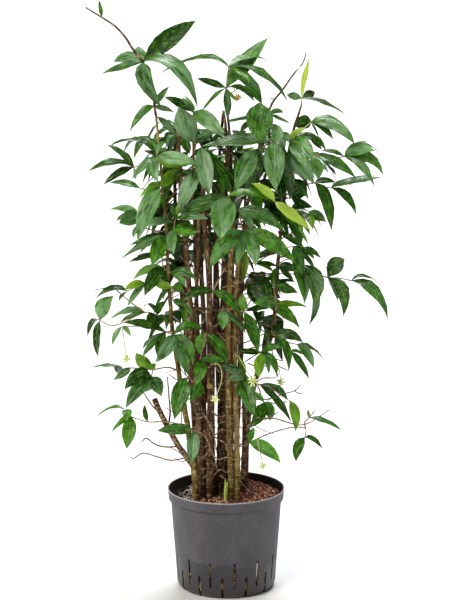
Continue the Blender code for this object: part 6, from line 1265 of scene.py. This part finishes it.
# dry bare twigs: (x, z, y) routes in cm, then a scatter of short ones among the canes
dryTwigs = [
    [(3.2, 47, 1), (5.2, 47.8, 0.5), (6.6, 48.6, 0), (7.8, 48.9, 0.5)],
    [(3, 45.2, 1), (4.6, 46.1, 0.6), (6, 46.3, 0), (7.2, 47.2, 0)],
    [(3.6, 43.5, 1.5), (5.6, 44.8, 0.8), (8.2, 46.1, 0.4), (9, 44.2, 0.4), (10.8, 43.6, 0)],
    [(4.4, 38.2, 1.5), (6.6, 40.2, 0.5), (9.2, 40.4, 0), (9.8, 41.2, 0)],
    [(4, 36.5, 2), (7.4, 36.2, 1), (11.2, 37.4, 0), (12.8, 37.9, 0), (14.1, 39, 0)],
    [(12.8, 37.9, 0), (13.6, 37.4, 0.2), (14.4, 37.5, 0.2)],
    [(4.2, 34, 2), (7.4, 35.6, 1), (9.6, 35.4, 0.5), (11.4, 35.9, 0.4)],
    [(-6, 25.2, -2.8), (-4.6, 25, -3.4), (-3.4, 24.6, -3.6), (-2.7, 24.4, -3.2)],
    [(-5.9, 23.6, -3.3), (-7.6, 24.8, -3.6), (-9.2, 26.2, -3.8), (-10.5, 26.9, -3.8)],
    [(-4.2, 26.9, -1.8), (-3, 27.2, -3.6), (-2.4, 25.4, -3.8), (-1.6, 22.4, -3.6)],
    [(-3, 34.5, -2.4), (-1.4, 32.9, -3), (0.2, 33.2, -3.4), (1.4, 32.4, -3.8)],
    [(0.4, 28.8, -3.6), (0.8, 26.8, -4.2), (0.4, 25.2, -4)],
    [(2, 31.6, -3.4), (1.9, 29.2, -4), (2.4, 27.8, -3.8)],
    [(3.9, 58, 2.4), (5.4, 59.6, 1.6), (8.2, 60.3, 0.8), (11.4, 60.2, 0), (13.4, 60.1, 0)],
    [(5.8, 62.4, 2), (7.6, 63.5, 1.2), (9.4, 64.5, 0.9)],
    [(-8.2, 75.6, 0), (-6.8, 73.4, -0.6), (-5.2, 71.2, -0.8)],
    [(-8.6, 63.8, 0.4), (-7, 61.6, 0), (-5.4, 58.4, -0.4), (-4.2, 57.2, -1.4)],
    [(-6, 63, 1), (-7.6, 60.2, 1), (-8.8, 57.4, 0.6)],
    [(-6.2, 52, 1.6), (-5, 50.4, 1), (-3.6, 48.6, 0.8)],
    [(-6, 30.2, -2.6), (-4.9, 30, -3.2), (-3.6, 28.7, -3.4), (-3, 27, -3.6), (-2.2, 25.3, -3.8)],
    [(-2.7, 24.2, -3.2), (-2.1, 22.9, -3.6)], [(-6.1, 30.2, -2.6), (-5, 32, -3.2)],
    [(-5.6, 32.3, -2.2), (-3.6, 33.1, -3.2)], [(-8, 25, -2), (-6, 22.5, -2.6)],
    [(-2.5, 29.2, -2.6), (-0.3, 27.9, -4), (3, 27.1, -4), (4.1, 27.6, -3.6)],
    [(-0.1, 27.3, -3.8), (0.3, 26.2, -4.2), (1.8, 25.2, -4.2)],
    [(-4.5, 20.8, -2.6), (-3.3, 21.7, -3.2)], [(-1.2, 21.5, -3), (-0.3, 20.8, -3.8)],
    [(-7.2, 64.5, 0), (-6.3, 62, -0.6), (-5.8, 60, -0.4)],
    [(-5.8, 61.5, 0), (-4.6, 59.4, -1.2), (-3.9, 58.2, -1.8)],
    [(-8.2, 58.6, 0), (-7.2, 60.2, -0.4), (-6.3, 62.2, 0)],
    [(-6.6, 55.2, 0), (-5.2, 53.6, -0.8), (-3.6, 52.6, -2)],
    [(-1.6, 63, 0), (-0.8, 61.8, -0.8), (0.4, 60.4, -2)],
    [(-3.4, 54.6, -2.2), (-2.4, 53.4, -2.6), (-1.2, 53.2, -2)],
    [(-9.2, 50.2, -0.4), (-7.4, 48.2, -0.6), (-5.6, 48.6, -0.4)],
    [(2.6, 57.2, -2), (1, 58, -2.8), (-0.6, 57.6, -2)],
    [(-6.2, 66.8, 0), (-5.2, 68.8, -0.6), (-4.4, 70.2, -0.4)],
    [(3.8, 60.2, 2), (6.6, 59.9, 1.2), (10, 60.1, 0.4)],
    [(4.6, 61.9, 2), (6.4, 63.2, 1.4), (9.6, 64.1, 0.6)],
    [(3.2, 52.9, 1.6), (4.4, 54.8, 1.2), (5.4, 56.4, 2)],
    [(-9.6, 75.2, 0), (-10.8, 73.6, -0.4), (-11.4, 72.2, -0.6)],
    [(-8.8, 76.2, 0), (-10.2, 74.6, -0.6), (-11.6, 75.6, -0.6)],
    [(-7.4, 46.6, -0.6), (-9.2, 47.2, -0.8), (-10.8, 48, -0.8), (-12.2, 47.6, -0.6)],
    [(-6.8, 40.2, 0.2), (-9, 40, 0.4), (-10.6, 41, 0.6)],
    [(-6.5, 36.6, 0), (-8.8, 35.2, 0.2), (-10.2, 35.6, 0.2)],
    [(-4.4, 33.6, -3), (-3, 31.4, -3.8), (-2.2, 29, -4.2), (-1.9, 26.4, -4.2)],
    [(-2.2, 29.2, -4.2), (-0.8, 30.4, -4.4), (0.4, 30, -4.4)],
    [(2.8, 35.2, -3.8), (1.6, 33.6, -4.4), (1.8, 31.8, -4.6), (3, 30.6, -4.4)],
    [(1.8, 24.4, -4.4), (0.2, 25, -4.8), (-1.4, 24.6, -4.8), (-2.8, 25.8, -4.4)],
    [(-4.6, 24.6, -3.6), (-3.2, 26.4, -4.2), (-3.4, 28.6, -4.2), (-4.2, 30.4, -3.6)],
    [(-2.4, 21.4, -3.6), (-1, 22.6, -4.4), (0.2, 22, -4.8), (1, 23.2, -4.8)],
    [(3.6, 41.2, -2.6), (2.2, 39.8, -3.4), (0.6, 40.4, -3.6), (-0.8, 39.2, -3.4)],
    [(-5, 44.2, -1.6), (-3.4, 42.4, -2.6), (-2.4, 43, -3), (-1.2, 41.4, -3)],
    [(-4.8, 50.4, -1.4), (-3.6, 51.6, -2.2), (-2.4, 50.2, -2.8), (-1, 51, -2.6)],
    [(2.6, 47, -2.4), (1.2, 48.4, -3), (-0.2, 47.6, -3.2), (-1.6, 49.2, -2.8)],
    [(-6, 39.4, -1.2), (-7.6, 41.2, -1.4), (-8, 43.6, -1.2), (-9.4, 44.6, -1)],
    [(-6.4, 28.4, -2.2), (-8, 30.2, -2.6), (-8.4, 32.6, -2.6), (-8.2, 35, -2.4)],
    [(3.9, 30.8, -2.4), (5.6, 32.6, -2.6), (7.6, 32.4, -2.6), (9.8, 33.8, -2.6)],
    [(4.2, 49.6, 0.6), (6.2, 51, 0.2), (8, 50.4, 0), (9.6, 51.6, 0)],
    [(4, 43.2, 0.8), (6.4, 42.4, 0.4), (8.6, 43, 0.2), (11.6, 41.8, 0.2)],
]
dryLook = {"thick": (0.0013, 0.0009), "right": (0.0, 0.15), "front": (0.22, 0.50),     # tones
           "count": 110, "short": (0.0009, 0.0005), "reach": (0.018, 0.052), "bend": 0.008,
           "rise": (-0.030, 0.022), "tone": (0.05, 0.4), "turn": (0, 6.283)}
dice = random.Random(41)
bars = []
for points in dryTwigs:
    tone = dice.uniform(*dryLook["right" if points[0][0] > 3 else "front"])
    bars.append(twigBar([onPlan(*point) for point in points], tone, dice, *dryLook["thick"]))
groups = list(caneRoutes.values())
for k in range(dryLook["count"]):
    points = groups[k % len(groups)][-1][0]
    spots = smoothed([onPlan(*point) for point in points[1:-1]], 8)
    start = dice.choice(spots[:max(8, int(len(spots) * 0.8))])
    bearing, reach = dice.uniform(*dryLook["turn"]), dice.uniform(*dryLook["reach"])
    bend = Vector([dice.uniform(-dryLook["bend"], dryLook["bend"]) for _ in range(3)])
    tip = start + Vector((reach * math.cos(bearing), reach * math.sin(bearing),
                          dice.uniform(*dryLook["rise"])))
    bars.append(twigBar([start, start.lerp(tip, 0.5) + bend, tip],
                        dice.uniform(*dryLook["tone"]), dice, *dryLook["short"]))
settle(barMesh("dry_twigs", bars, 1, twigSkin), "cane_bark")
print("dry twigs placed:", len(bars))


# flower balls: a starry head of florets, each a thin stem that ends in a blunt bud
floretLook = {
    "count": 13, "stem": 0.00070, "bud": 0.00150, "budLength": 0.0048, "sway": 0.2,
    "profile": ((0.15, 0.8), (0.35, 1.25), (0.35, 0.85), (0.15, 0.45)), "reach": (0.78, 1.0),
    "full": 1.15, "stalk": (0.98, 0.0010, 0.0008), "driedStalk": (0.2, 0.0008, 0.0007),
}
budScale = 100      # a bud is modelled this much longer than it is


def masterFloret():
    bpy.ops.mesh.primitive_cylinder_add(vertices=5, radius=floretLook["stem"], depth=1,
                                        location=(0, 0, 0.5), end_fill_type="NGON")
    floret = bpy.context.object
    bpy.ops.object.transform_apply(location=True)
    onlySelect(floret)
    for face in floret.data.polygons:
        face.select = face.center.z > 0.99
    edit()
    widen = floretLook["bud"] / floretLook["stem"]
    for rise, size in floretLook["profile"]:
        bpy.ops.mesh.extrude_region_move(TRANSFORM_OT_translate={
            "value": (0, 0, rise * floretLook["budLength"] * budScale)})
        bpy.ops.transform.resize(value=(size * widen, size * widen, 1))
        widen = 1
    leaveEdit()
    return takenShape(floret)


floretCorners, floretFaces = masterFloret()


def flowerHead(name, centre, radius, dice, tissue=petalTissue):
    shapes, count, sway = [], floretLook["count"], floretLook["sway"]
    for k in range(count):
        z = 1 - 2 * (k + 0.5) / count
        turn, flat = k * goldenTurn + dice.uniform(-sway, sway), math.sqrt(1 - z * z)
        way = Vector((flat * math.cos(turn), flat * math.sin(turn), z))
        way = (way + Vector([dice.uniform(-sway, sway) for _ in range(3)])).normalized()
        swing = np.array(way.to_track_quat("Z", "Y").to_matrix())
        reach = radius * dice.uniform(*floretLook["reach"]) - floretLook["budLength"]
        local = floretCorners.copy()
        stem = local[:, 2] <= 1.0001
        local[stem, 2] *= reach
        local[~stem, 2] = reach + (local[~stem, 2] - 1) / budScale
        shapes.append((local @ swing.T + np.array(centre), floretFaces))
    return pieceOf(name, shapes, tissue)


def packedBack(name, points, radius):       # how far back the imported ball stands
    corners = [v.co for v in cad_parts[name].data.vertices]
    x, z, y = points[-1]

    def hits(shift):
        middle = onPlan(x, z, y + shift)
        return sum(abs((corner - middle).length - radius) < atCorner for corner in corners)
    return max(shiftTries, key=hits)


def stalkBar(route, tone, *thick):
    return twigBar(route, tone, dice, *thick)


for name, (carrier, radius, points) in flowerStalks.items():
    shift = packedBack(name, points, radius)
    route = [onPlan(x, z, y + (shift if k else 0)) for k, (x, z, y) in enumerate(points)]
    route[0] = onCane(carrier, route[0])
    stalk = barMesh(name + "_stalk", [stalkBar(route, *floretLook["stalk"])], 1, twigSkin)
    head = flowerHead(name, route[-1], radius * floretLook["full"], dice)
    settle(joined(name + "_florets", [head, stalk]), "flower", name)
driedHeads = [       # radius, the stalk's route from its cane or twig to the withered head
    (0.0075, [(-3.0, 40.6, -1.9), (-3.2, 39.8, -2.8), (-3.0, 38.9, -3.2)]),
    (0.0078, [(1.4, 94.8, -2.6), (2.2, 93.0, -2.6)]),
]
dried = [flowerHead("dried_head", onPlan(*points[-1]), radius, dice, driedTissue)
         for radius, points in driedHeads]
routes = [[onPlan(*point) for point in points] for _, points in driedHeads]
routes[0][0] = onCane("middle_canes", routes[0][0])
dried.append(barMesh("dried_stalks", [stalkBar(route, *floretLook["driedStalk"])
                                      for route in routes], 1, driedTissue))
settle(joined("dried_flowers", dried), "flower")
print("flowers grown")


# culture pot: a turned wall with its band and rolled lip, then the root slots are cut
potShape = {
    "sides": 96,
    "outside": [(0.0810, 0.0), (0.0858, 0.0012), (0.0896, 0.0042), (0.0922, 0.0085),
                (0.0933, 0.0140), (0.0937, 0.0220), (0.0972, 0.0720), (0.1008, 0.1200),
                (0.1038, 0.1640), (0.1042, 0.1690), (0.1046, 0.1704), (0.1078, 0.1711),
                (0.1085, 0.1722), (0.1091, 0.1820), (0.1098, 0.1890)],
    "lip": [(0.1102, 0.1902), (0.1103, 0.1914), (0.1098, 0.1921), (0.1088, 0.1921),
            (0.1080, 0.1914)],
    "inside": [(0.1068, 0.1860), (0.1062, 0.1725), (0.1028, 0.1690), (0.1015, 0.1630),
               (0.0915, 0.0220), (0.0908, 0.0140), (0.0890, 0.0090), (0.0850, 0.0040),
               (0.0790, 0.0025)],
    "liningTop": 0.1905, "floorTop": 0.01, "crease": math.radians(34),
    "slots": 13, "slotWidth": 0.0043, "firstSlot": math.radians(9.8) - math.pi / 2,
    "longSlot": (0.0215, 0.0712), "shortSlot": (-0.012, 0.0428), "cutter": (0.094, 0.05),
}
slotStep = 2 * math.pi / potShape["slots"]


def turnedPot():
    steps = potShape["outside"] + potShape["lip"] + potShape["inside"]
    bpy.ops.mesh.primitive_circle_add(vertices=potShape["sides"], radius=steps[0][0],
                                      location=(0, 0, 0), fill_type="NOTHING")
    pot = bpy.context.object
    edit("SELECT")
    for (r0, z0), (r1, z1) in zip(steps, steps[1:]):
        bpy.ops.mesh.extrude_region_move(TRANSFORM_OT_translate={"value": (0, 0, z1 - z0)})
        bpy.ops.transform.resize(value=(r1 / r0, r1 / r0, 1), center_override=(0, 0, z1))
    bpy.ops.mesh.edge_face_add()        # floor inside
    leaveEdit()
    selectCorners(pot, lambda place: place.z < 1e-5)
    edit()
    bpy.ops.mesh.edge_face_add()        # underside
    leaveEdit()
    recalcNormals(pot)
    return pot


def slotBar(turn, span):        # a radial bar with round ends, which cuts one slot
    (low, high), (reach, length) = span, potShape["cutter"]
    bpy.ops.mesh.primitive_cube_add(size=1, location=(reach, 0, (low + high) / 2))
    bar = bpy.context.object
    bar.scale = (length, potShape["slotWidth"], high - low)
    bpy.ops.object.transform_apply(location=True, scale=True)
    onlySelect(bar)
    for edge in bar.data.edges:
        a, b = (bar.data.vertices[k].co for k in edge.vertices)
        edge.select = abs(a.x - b.x) > 0.01
    for face in bar.data.polygons:
        face.select = False
    edit()
    bpy.ops.mesh.bevel(offset=potShape["slotWidth"] * 0.46, segments=3)
    leaveEdit()
    bar.data.transform(Matrix.Rotation(turn, 4, "Z"))
    return bar


slotPlaces = []     # (turn, (low, high)) of each slot, a long one and a short one by turns
for k in range(potShape["slots"]):
    turn = potShape["firstSlot"] + slotStep * k
    slotPlaces += [(turn, potShape["longSlot"]), (turn + slotStep / 2, potShape["shortSlot"])]


def innerRadius(z):     # of the pot's wall at a height
    steps = potShape["inside"][2:]
    for (r1, z1), (r0, z0) in zip(steps, steps[1:]):
        if z >= z0:
            return r0 + (r1 - r0) * min(1, (z - z0) / (z1 - z0))
    return steps[-1][0]


pot = turnedPot()
cutter = joined("slotCutter", [slotBar(*place) for place in slotPlaces])
onlySelect(pot)
cut = pot.modifiers.new("slots", "BOOLEAN")
cut.operation, cut.solver, cut.object = "DIFFERENCE", "EXACT", cutter
bpy.ops.object.modifier_apply(modifier="slots")
bpy.data.objects.remove(cutter)
pot.name = pot.data.name = "pot_wall"
bpy.ops.object.shade_smooth_by_angle(angle=potShape["crease"])
pot.data.materials.clear()
pot.data.materials.append(potPlastic)
pot.data.materials.append(potLining)
# inward faces below the lining top, and the inner floor, take the near-black lining: painted shade
for face in pot.data.polygons:
    place, way = face.center, face.normal
    inward = way.x * place.x + way.y * place.y < -1e-4 and place.z < potShape["liningTop"]
    if inward or (way.z > 0.5 and place.z < potShape["floorTop"]):
        face.material_index = 1
settle(pot, "pot_plastic", "culture_pot")
print("pot turned")


# clay pebbles: a filled bed under loose pebbles, sunk at the back left, and some at the slots
bedLook = {
    "count": 2050, "size": (0.0020, 0.0034), "spread": 0.1005, "jitter": 0.0012,
    "depth": (-0.0024, 0.0002), "pale": 0.09, "palePatch": 0.40, "paleTone": (0.92, 1.0),
    "tone": (0.1, 0.88), "slotSize": (0.0024, 0.0034), "slotTone": (0.35, 0.9),
    "slotRise": 0.0052, "kinds": 6, "lumps": 0.9, "shape": (1.12, 1.0, 0.86), "gapShadeTone": 0.12,
    # below the damp height the pebbles' tone is multiplied down: painted shade in the sunk hollow
    "top": 0.177, "hollow": 0.024, "damp": 0.165, "hollowShadeTone": 0.4,
    "radius": 0.1010, "rings": 6, "ringWidth": 0.0152, "fillBelow": 0.0035,
    "sides": ((0.0975, 0.1200), (0.0905, 0.0200), (0.0880, 0.0095), (0.0780, 0.0030)),
}


def bedTop(x, y):
    sunk = (1 - math.tanh((x + 0.062) / 0.016)) * (1 + math.tanh((y + 0.030) / 0.022)) / 4
    heaps = 0.0016 * math.sin(x * 170 + 1.3) * math.cos(y * 145)
    return bedLook["top"] - bedLook["hollow"] * sunk + 0.0015 * y / 0.08 + heaps


def masterPebble(k):        # a lumpy ball of two dozen faces
    bpy.ops.mesh.primitive_cube_add(size=1.4, location=(0, 0, 0))
    pebble = bpy.context.object
    edit("SELECT")
    bpy.ops.mesh.subdivide(number_cuts=1)
    leaveEdit()
    rounded = pebble.modifiers.new("rounded", "CAST")
    rounded.factor, rounded.radius, rounded.use_radius_as_size = 1.0, 1.0, False
    bpy.ops.object.modifier_apply(modifier="rounded")
    lumps = bpy.data.textures.new("lumps", "CLOUDS")
    lumps.noise_scale = bedLook["lumps"]
    swell = pebble.modifiers.new("swell", "DISPLACE")
    swell.texture, swell.strength, swell.mid_level = lumps, bedLook["lumps"], 0.5
    pebble.location = (3.7 * k, 1.9 * k, 0)     # each takes its lumps from another place
    swell.texture_coords = "GLOBAL"
    bpy.ops.object.modifier_apply(modifier="swell")
    corners, faces = takenShape(pebble)
    corners -= corners.mean(axis=0)
    corners /= np.linalg.norm(corners, axis=1).mean()
    return corners * bedLook["shape"], faces


def pebbleHeap(name, spots, dice):      # spots: (place, size, tone)
    shapes, tones = [], []
    for place, size, tone in spots:
        corners, faces = dice.choice(pebbleMasters)
        axis = Vector([dice.uniform(-1, 1) for _ in range(3)])
        turn = np.array(Matrix.Rotation(dice.uniform(0, 6.3), 3, axis))
        shapes.append((corners @ turn.T * size + np.array(place), faces))
        tones += [(tone, tone, tone, 0)] * len(corners)
    heap = pieceOf(name, shapes, clay)
    setAttribute(heap.data, "pebble", tones)
    return heap


def filledBed():        # one closed shape under the loose pebbles, down to the pot's floor
    bpy.ops.mesh.primitive_circle_add(vertices=64, radius=bedLook["radius"], location=(0, 0, 0),
                                      fill_type="NGON")
    bed = bpy.context.object
    edit("SELECT")
    for _ in range(bedLook["rings"]):
        bpy.ops.mesh.inset(thickness=bedLook["ringWidth"])
    leaveEdit()
    for corner in bed.data.vertices:
        top = bedTop(corner.co.x, corner.co.y) - bedLook["fillBelow"]
        reach = min(1, (innerRadius(top) - 0.0006) / max(0.01, corner.co.xy.length))
        corner.co = (corner.co.x * reach, corner.co.y * reach, top)
    onlySelect(bed)
    edit("DESELECT")
    bpy.ops.mesh.select_mode(type="EDGE")
    bpy.ops.mesh.select_non_manifold()
    for r, z in bedLook["sides"]:
        bpy.ops.mesh.extrude_region_move(TRANSFORM_OT_translate={"value": (0, 0, 0)})
        leaveEdit()
        for corner in bed.data.vertices:
            if corner.select:
                turn = math.atan2(corner.co.y, corner.co.x)
                corner.co = (r * math.cos(turn), r * math.sin(turn), z)
        edit()
    bpy.ops.mesh.edge_face_add()
    leaveEdit()
    recalcNormals(bed)
    # the filled bed is dark: painted shade in the gaps between the loose pebbles
    setAttribute(bed.data, "pebble", [[bedLook["gapShadeTone"]] * 3 + [0]] * len(bed.data.vertices))
    bed.data.materials.append(clay)
    bed.data.shade_smooth()
    return bed


dice = random.Random(21)
pebbleMasters = [masterPebble(k) for k in range(bedLook["kinds"])]
feet = [(onPlan(*points[1]), foot * cm) for routes in caneRoutes.values()
        for points, foot, _ in routes]
spots = []
for k in range(bedLook["count"]):
    reach = bedLook["spread"] * math.sqrt((k + 0.5) / bedLook["count"])
    x, y = (reach * way(k * goldenTurn) + dice.uniform(-bedLook["jitter"], bedLook["jitter"])
            for way in (math.cos, math.sin))
    if any(math.hypot(x - foot.x, y - foot.y) < radius for foot, radius in feet):
        continue
    size, level = dice.uniform(*bedLook["size"]), bedTop(x, y)
    z = level + dice.uniform(*bedLook["depth"])
    inside = min(1, (innerRadius(z - size) - size * 1.25) / max(0.01, math.hypot(x, y)))
    pale = bedLook["pale"] if x > 0.005 or y > -0.02 else bedLook["palePatch"]
    tone = dice.uniform(*bedLook["paleTone" if dice.random() < pale else "tone"])
    if level < bedLook["damp"]:     # the sunk corner's pebbles are darker: painted shade in the hollow
        tone *= bedLook["hollowShadeTone"]
    spots.append(((x * inside, y * inside, z), size, tone))
for turn, (low, high) in slotPlaces:
    z = max(low, 0.014) + 0.002
    while z < high:
        side, size = turn + dice.uniform(-0.012, 0.012), dice.uniform(*bedLook["slotSize"])
        reach = innerRadius(z) - size * 1.25
        spots.append(((reach * math.cos(side), reach * math.sin(side), z), size,
                      dice.uniform(*bedLook["slotTone"])))
        z += bedLook["slotRise"]
bed = joined("clay_pebbles", [pebbleHeap("pebbles", spots, dice), filledBed()])
settle(bed, "clay_granules", "clay_granules")
print("pebbles laid:", len(spots))


# roots: fibres at the slots, one stout white root in a slot, fine white ones over the hollow
rootLook = {
    "count": 84, "thick": (0.0004, 0.0008), "rise": (0.0015, 0.0040), "out": (-0.0020, 0.0016),
    "sway": 0.016, "stout": 0.0012, "fine": 15, "fineThick": (0.00025, 0.00045),
    "fineTurns": (125, 225), "fineSway": 0.09, "stoutRoute": (      # radius, turn, height
        (0.0905, 0.006, 0.034), (0.0930, 0.0, 0.041), (0.0945, -0.006, 0.049),
        (0.0955, -0.003, 0.058), (0.0950, 0.004, 0.067)),
}


def polar(reach, turn, z):
    return Vector((reach * math.cos(turn), reach * math.sin(turn), z))


dice = random.Random(5)
bars = []
for k in range(rootLook["count"]):
    turn, (low, high) = slotPlaces[k % len(slotPlaces)]
    foot, points = dice.uniform(max(low, 0.012), high - 0.014), []
    for step in range(4):
        z = foot + step * dice.uniform(*rootLook["rise"])
        reach = innerRadius(z) + dice.uniform(*rootLook["out"])
        points.append(polar(reach, turn + dice.uniform(-rootLook["sway"], rootLook["sway"]), z))
    route = smoothed(points, 3)
    bars.append(evenBar(route, [dice.uniform(*rootLook["thick"])] * len(route), 0.5))
settle(barMesh("slot_roots", bars, 1, rootTissue), "clay_granules")

whiteTurn = potShape["firstSlot"] + slotStep
route = smoothed([polar(r, whiteTurn + turn, z) for r, turn, z in rootLook["stoutRoute"]], 4)
bars = [evenBar(route, [rootLook["stout"]] * len(route), 1)]
for k in range(rootLook["fine"]):
    turn, points = math.radians(dice.uniform(*rootLook["fineTurns"])), []
    for step in range(5):
        reach = 0.104 - dice.uniform(0.0, 0.012) - 0.006 * step
        turn += dice.uniform(-rootLook["fineSway"], rootLook["fineSway"])
        spot = polar(reach, turn, 0.002)
        spot.z += bedTop(spot.x, spot.y) + dice.uniform(0.0, 0.016)
        points.append(spot)
    route = smoothed(points, 4)
    bars.append(evenBar(route, [dice.uniform(*rootLook["fineThick"])] * len(route), 1))
settle(barMesh("fresh_roots", bars, 1, whiteRoot), "clay_granules")


# young shoot at the foot, and a sheath leaf on either side of it
spearLook = {"place": (-0.001, -0.0435), "heights": (0.150, 0.173, 0.197, 0.214, 0.2215),
             "thick": 0.0021, "tip": 0.2230, "taper": 0.018,
             "sheaths": ((0.0036, 0.216), (-0.0024, 0.202)), "sheathPlace": (-0.001, -0.0430),
             "sheathFoot": 0.160, "sheathThick": 0.0015, "sheathTaper": 0.016,
             "sheathSteps": (0, 0.35, 0.7, 1)}


def pointedBar(points, thick, tip, taper):
    route = smoothed(points, 4)
    radii = [thick * min(1, (tip - spot.z) / taper) + 0.0002 for spot in route]
    return evenBar(route, radii, 1)


spear = [Vector((*spearLook["place"], z)) for z in spearLook["heights"]]
bars = [pointedBar(spear, spearLook["thick"], spearLook["tip"], spearLook["taper"])]
for lean, top in spearLook["sheaths"]:
    foot = Vector((*spearLook["sheathPlace"], spearLook["sheathFoot"]))
    way = Vector((lean, 0, top - foot.z))
    bars.append(pointedBar([foot + way * step for step in spearLook["sheathSteps"]],
                           spearLook["sheathThick"], top + 0.001, spearLook["sheathTaper"]))
settle(barMesh("young_shoot_rind", bars, 3, shootRind), "young_stem", "young_shoot")
print("roots and shoot placed")


def paperSweep():
    # matt white studio paper
    material, tree, shader = newMaterial("mattPaper", Roughness=0.95, IOR=1.5)
    place = addNode(tree, "TexCoord", {}, out="Object")
    grain = addNode(tree, "TexNoise", {"Vector": place, "Scale": 900.0})
    feed(shader, {"Base Color": addNode(tree, "ValToRGB", {"Fac": grain}, stops=[
        (0.3, "#f0f0ef"), (0.7, "#f4f4f3")])})
    return material


studio = {
    "floor": (80, (0, 14, 0)), "air": 0.15, "tilt": 90 - 11.84, "lens": 138.7, "sensor": 36,
    "far": 200, "lamps": {     # where each soft light shines from, its strength, spread, tint
        "frontLight": ((-0.95, -1.0, 1.15), 2.4, 36, "#fffaf1"),
        "topLight": ((0.15, 0.6, 1.5), 3.5, 30, "#fbfcff")},
}
deselectAll()
floorSize, floorPlace = studio["floor"]
bpy.ops.mesh.primitive_plane_add(size=floorSize, location=floorPlace)
floor = bpy.context.object
floor.name = "studio_floor"
floor.data.materials.append(paperSweep())

for name, (place, power, spread, shade) in studio["lamps"].items():
    bpy.ops.object.light_add(type="SUN", location=Vector(place) * 3)
    lamp = bpy.context.object
    lamp.name = name
    lamp.data.energy, lamp.data.angle = power, math.radians(spread)
    lamp.data.color = linear(shade)[:3]
    lamp.rotation_euler = (-Vector(place)).to_track_quat("-Z", "Y").to_euler()

world = bpy.context.scene.world or bpy.data.worlds.new("studioAir")
bpy.context.scene.world = world
world.use_nodes = True
feed(world.node_tree.nodes["Background"], {"Color": "#ffffff", "Strength": studio["air"]})
bpy.context.scene.view_settings.view_transform = "Standard"

bpy.ops.object.camera_add(location=standpoint, rotation=(math.radians(studio["tilt"]), 0, 0))
camera = bpy.context.object
camera.data.lens, camera.data.sensor_width = studio["lens"], studio["sensor"]
camera.data.clip_end = studio["far"]
bpy.context.scene.camera = camera
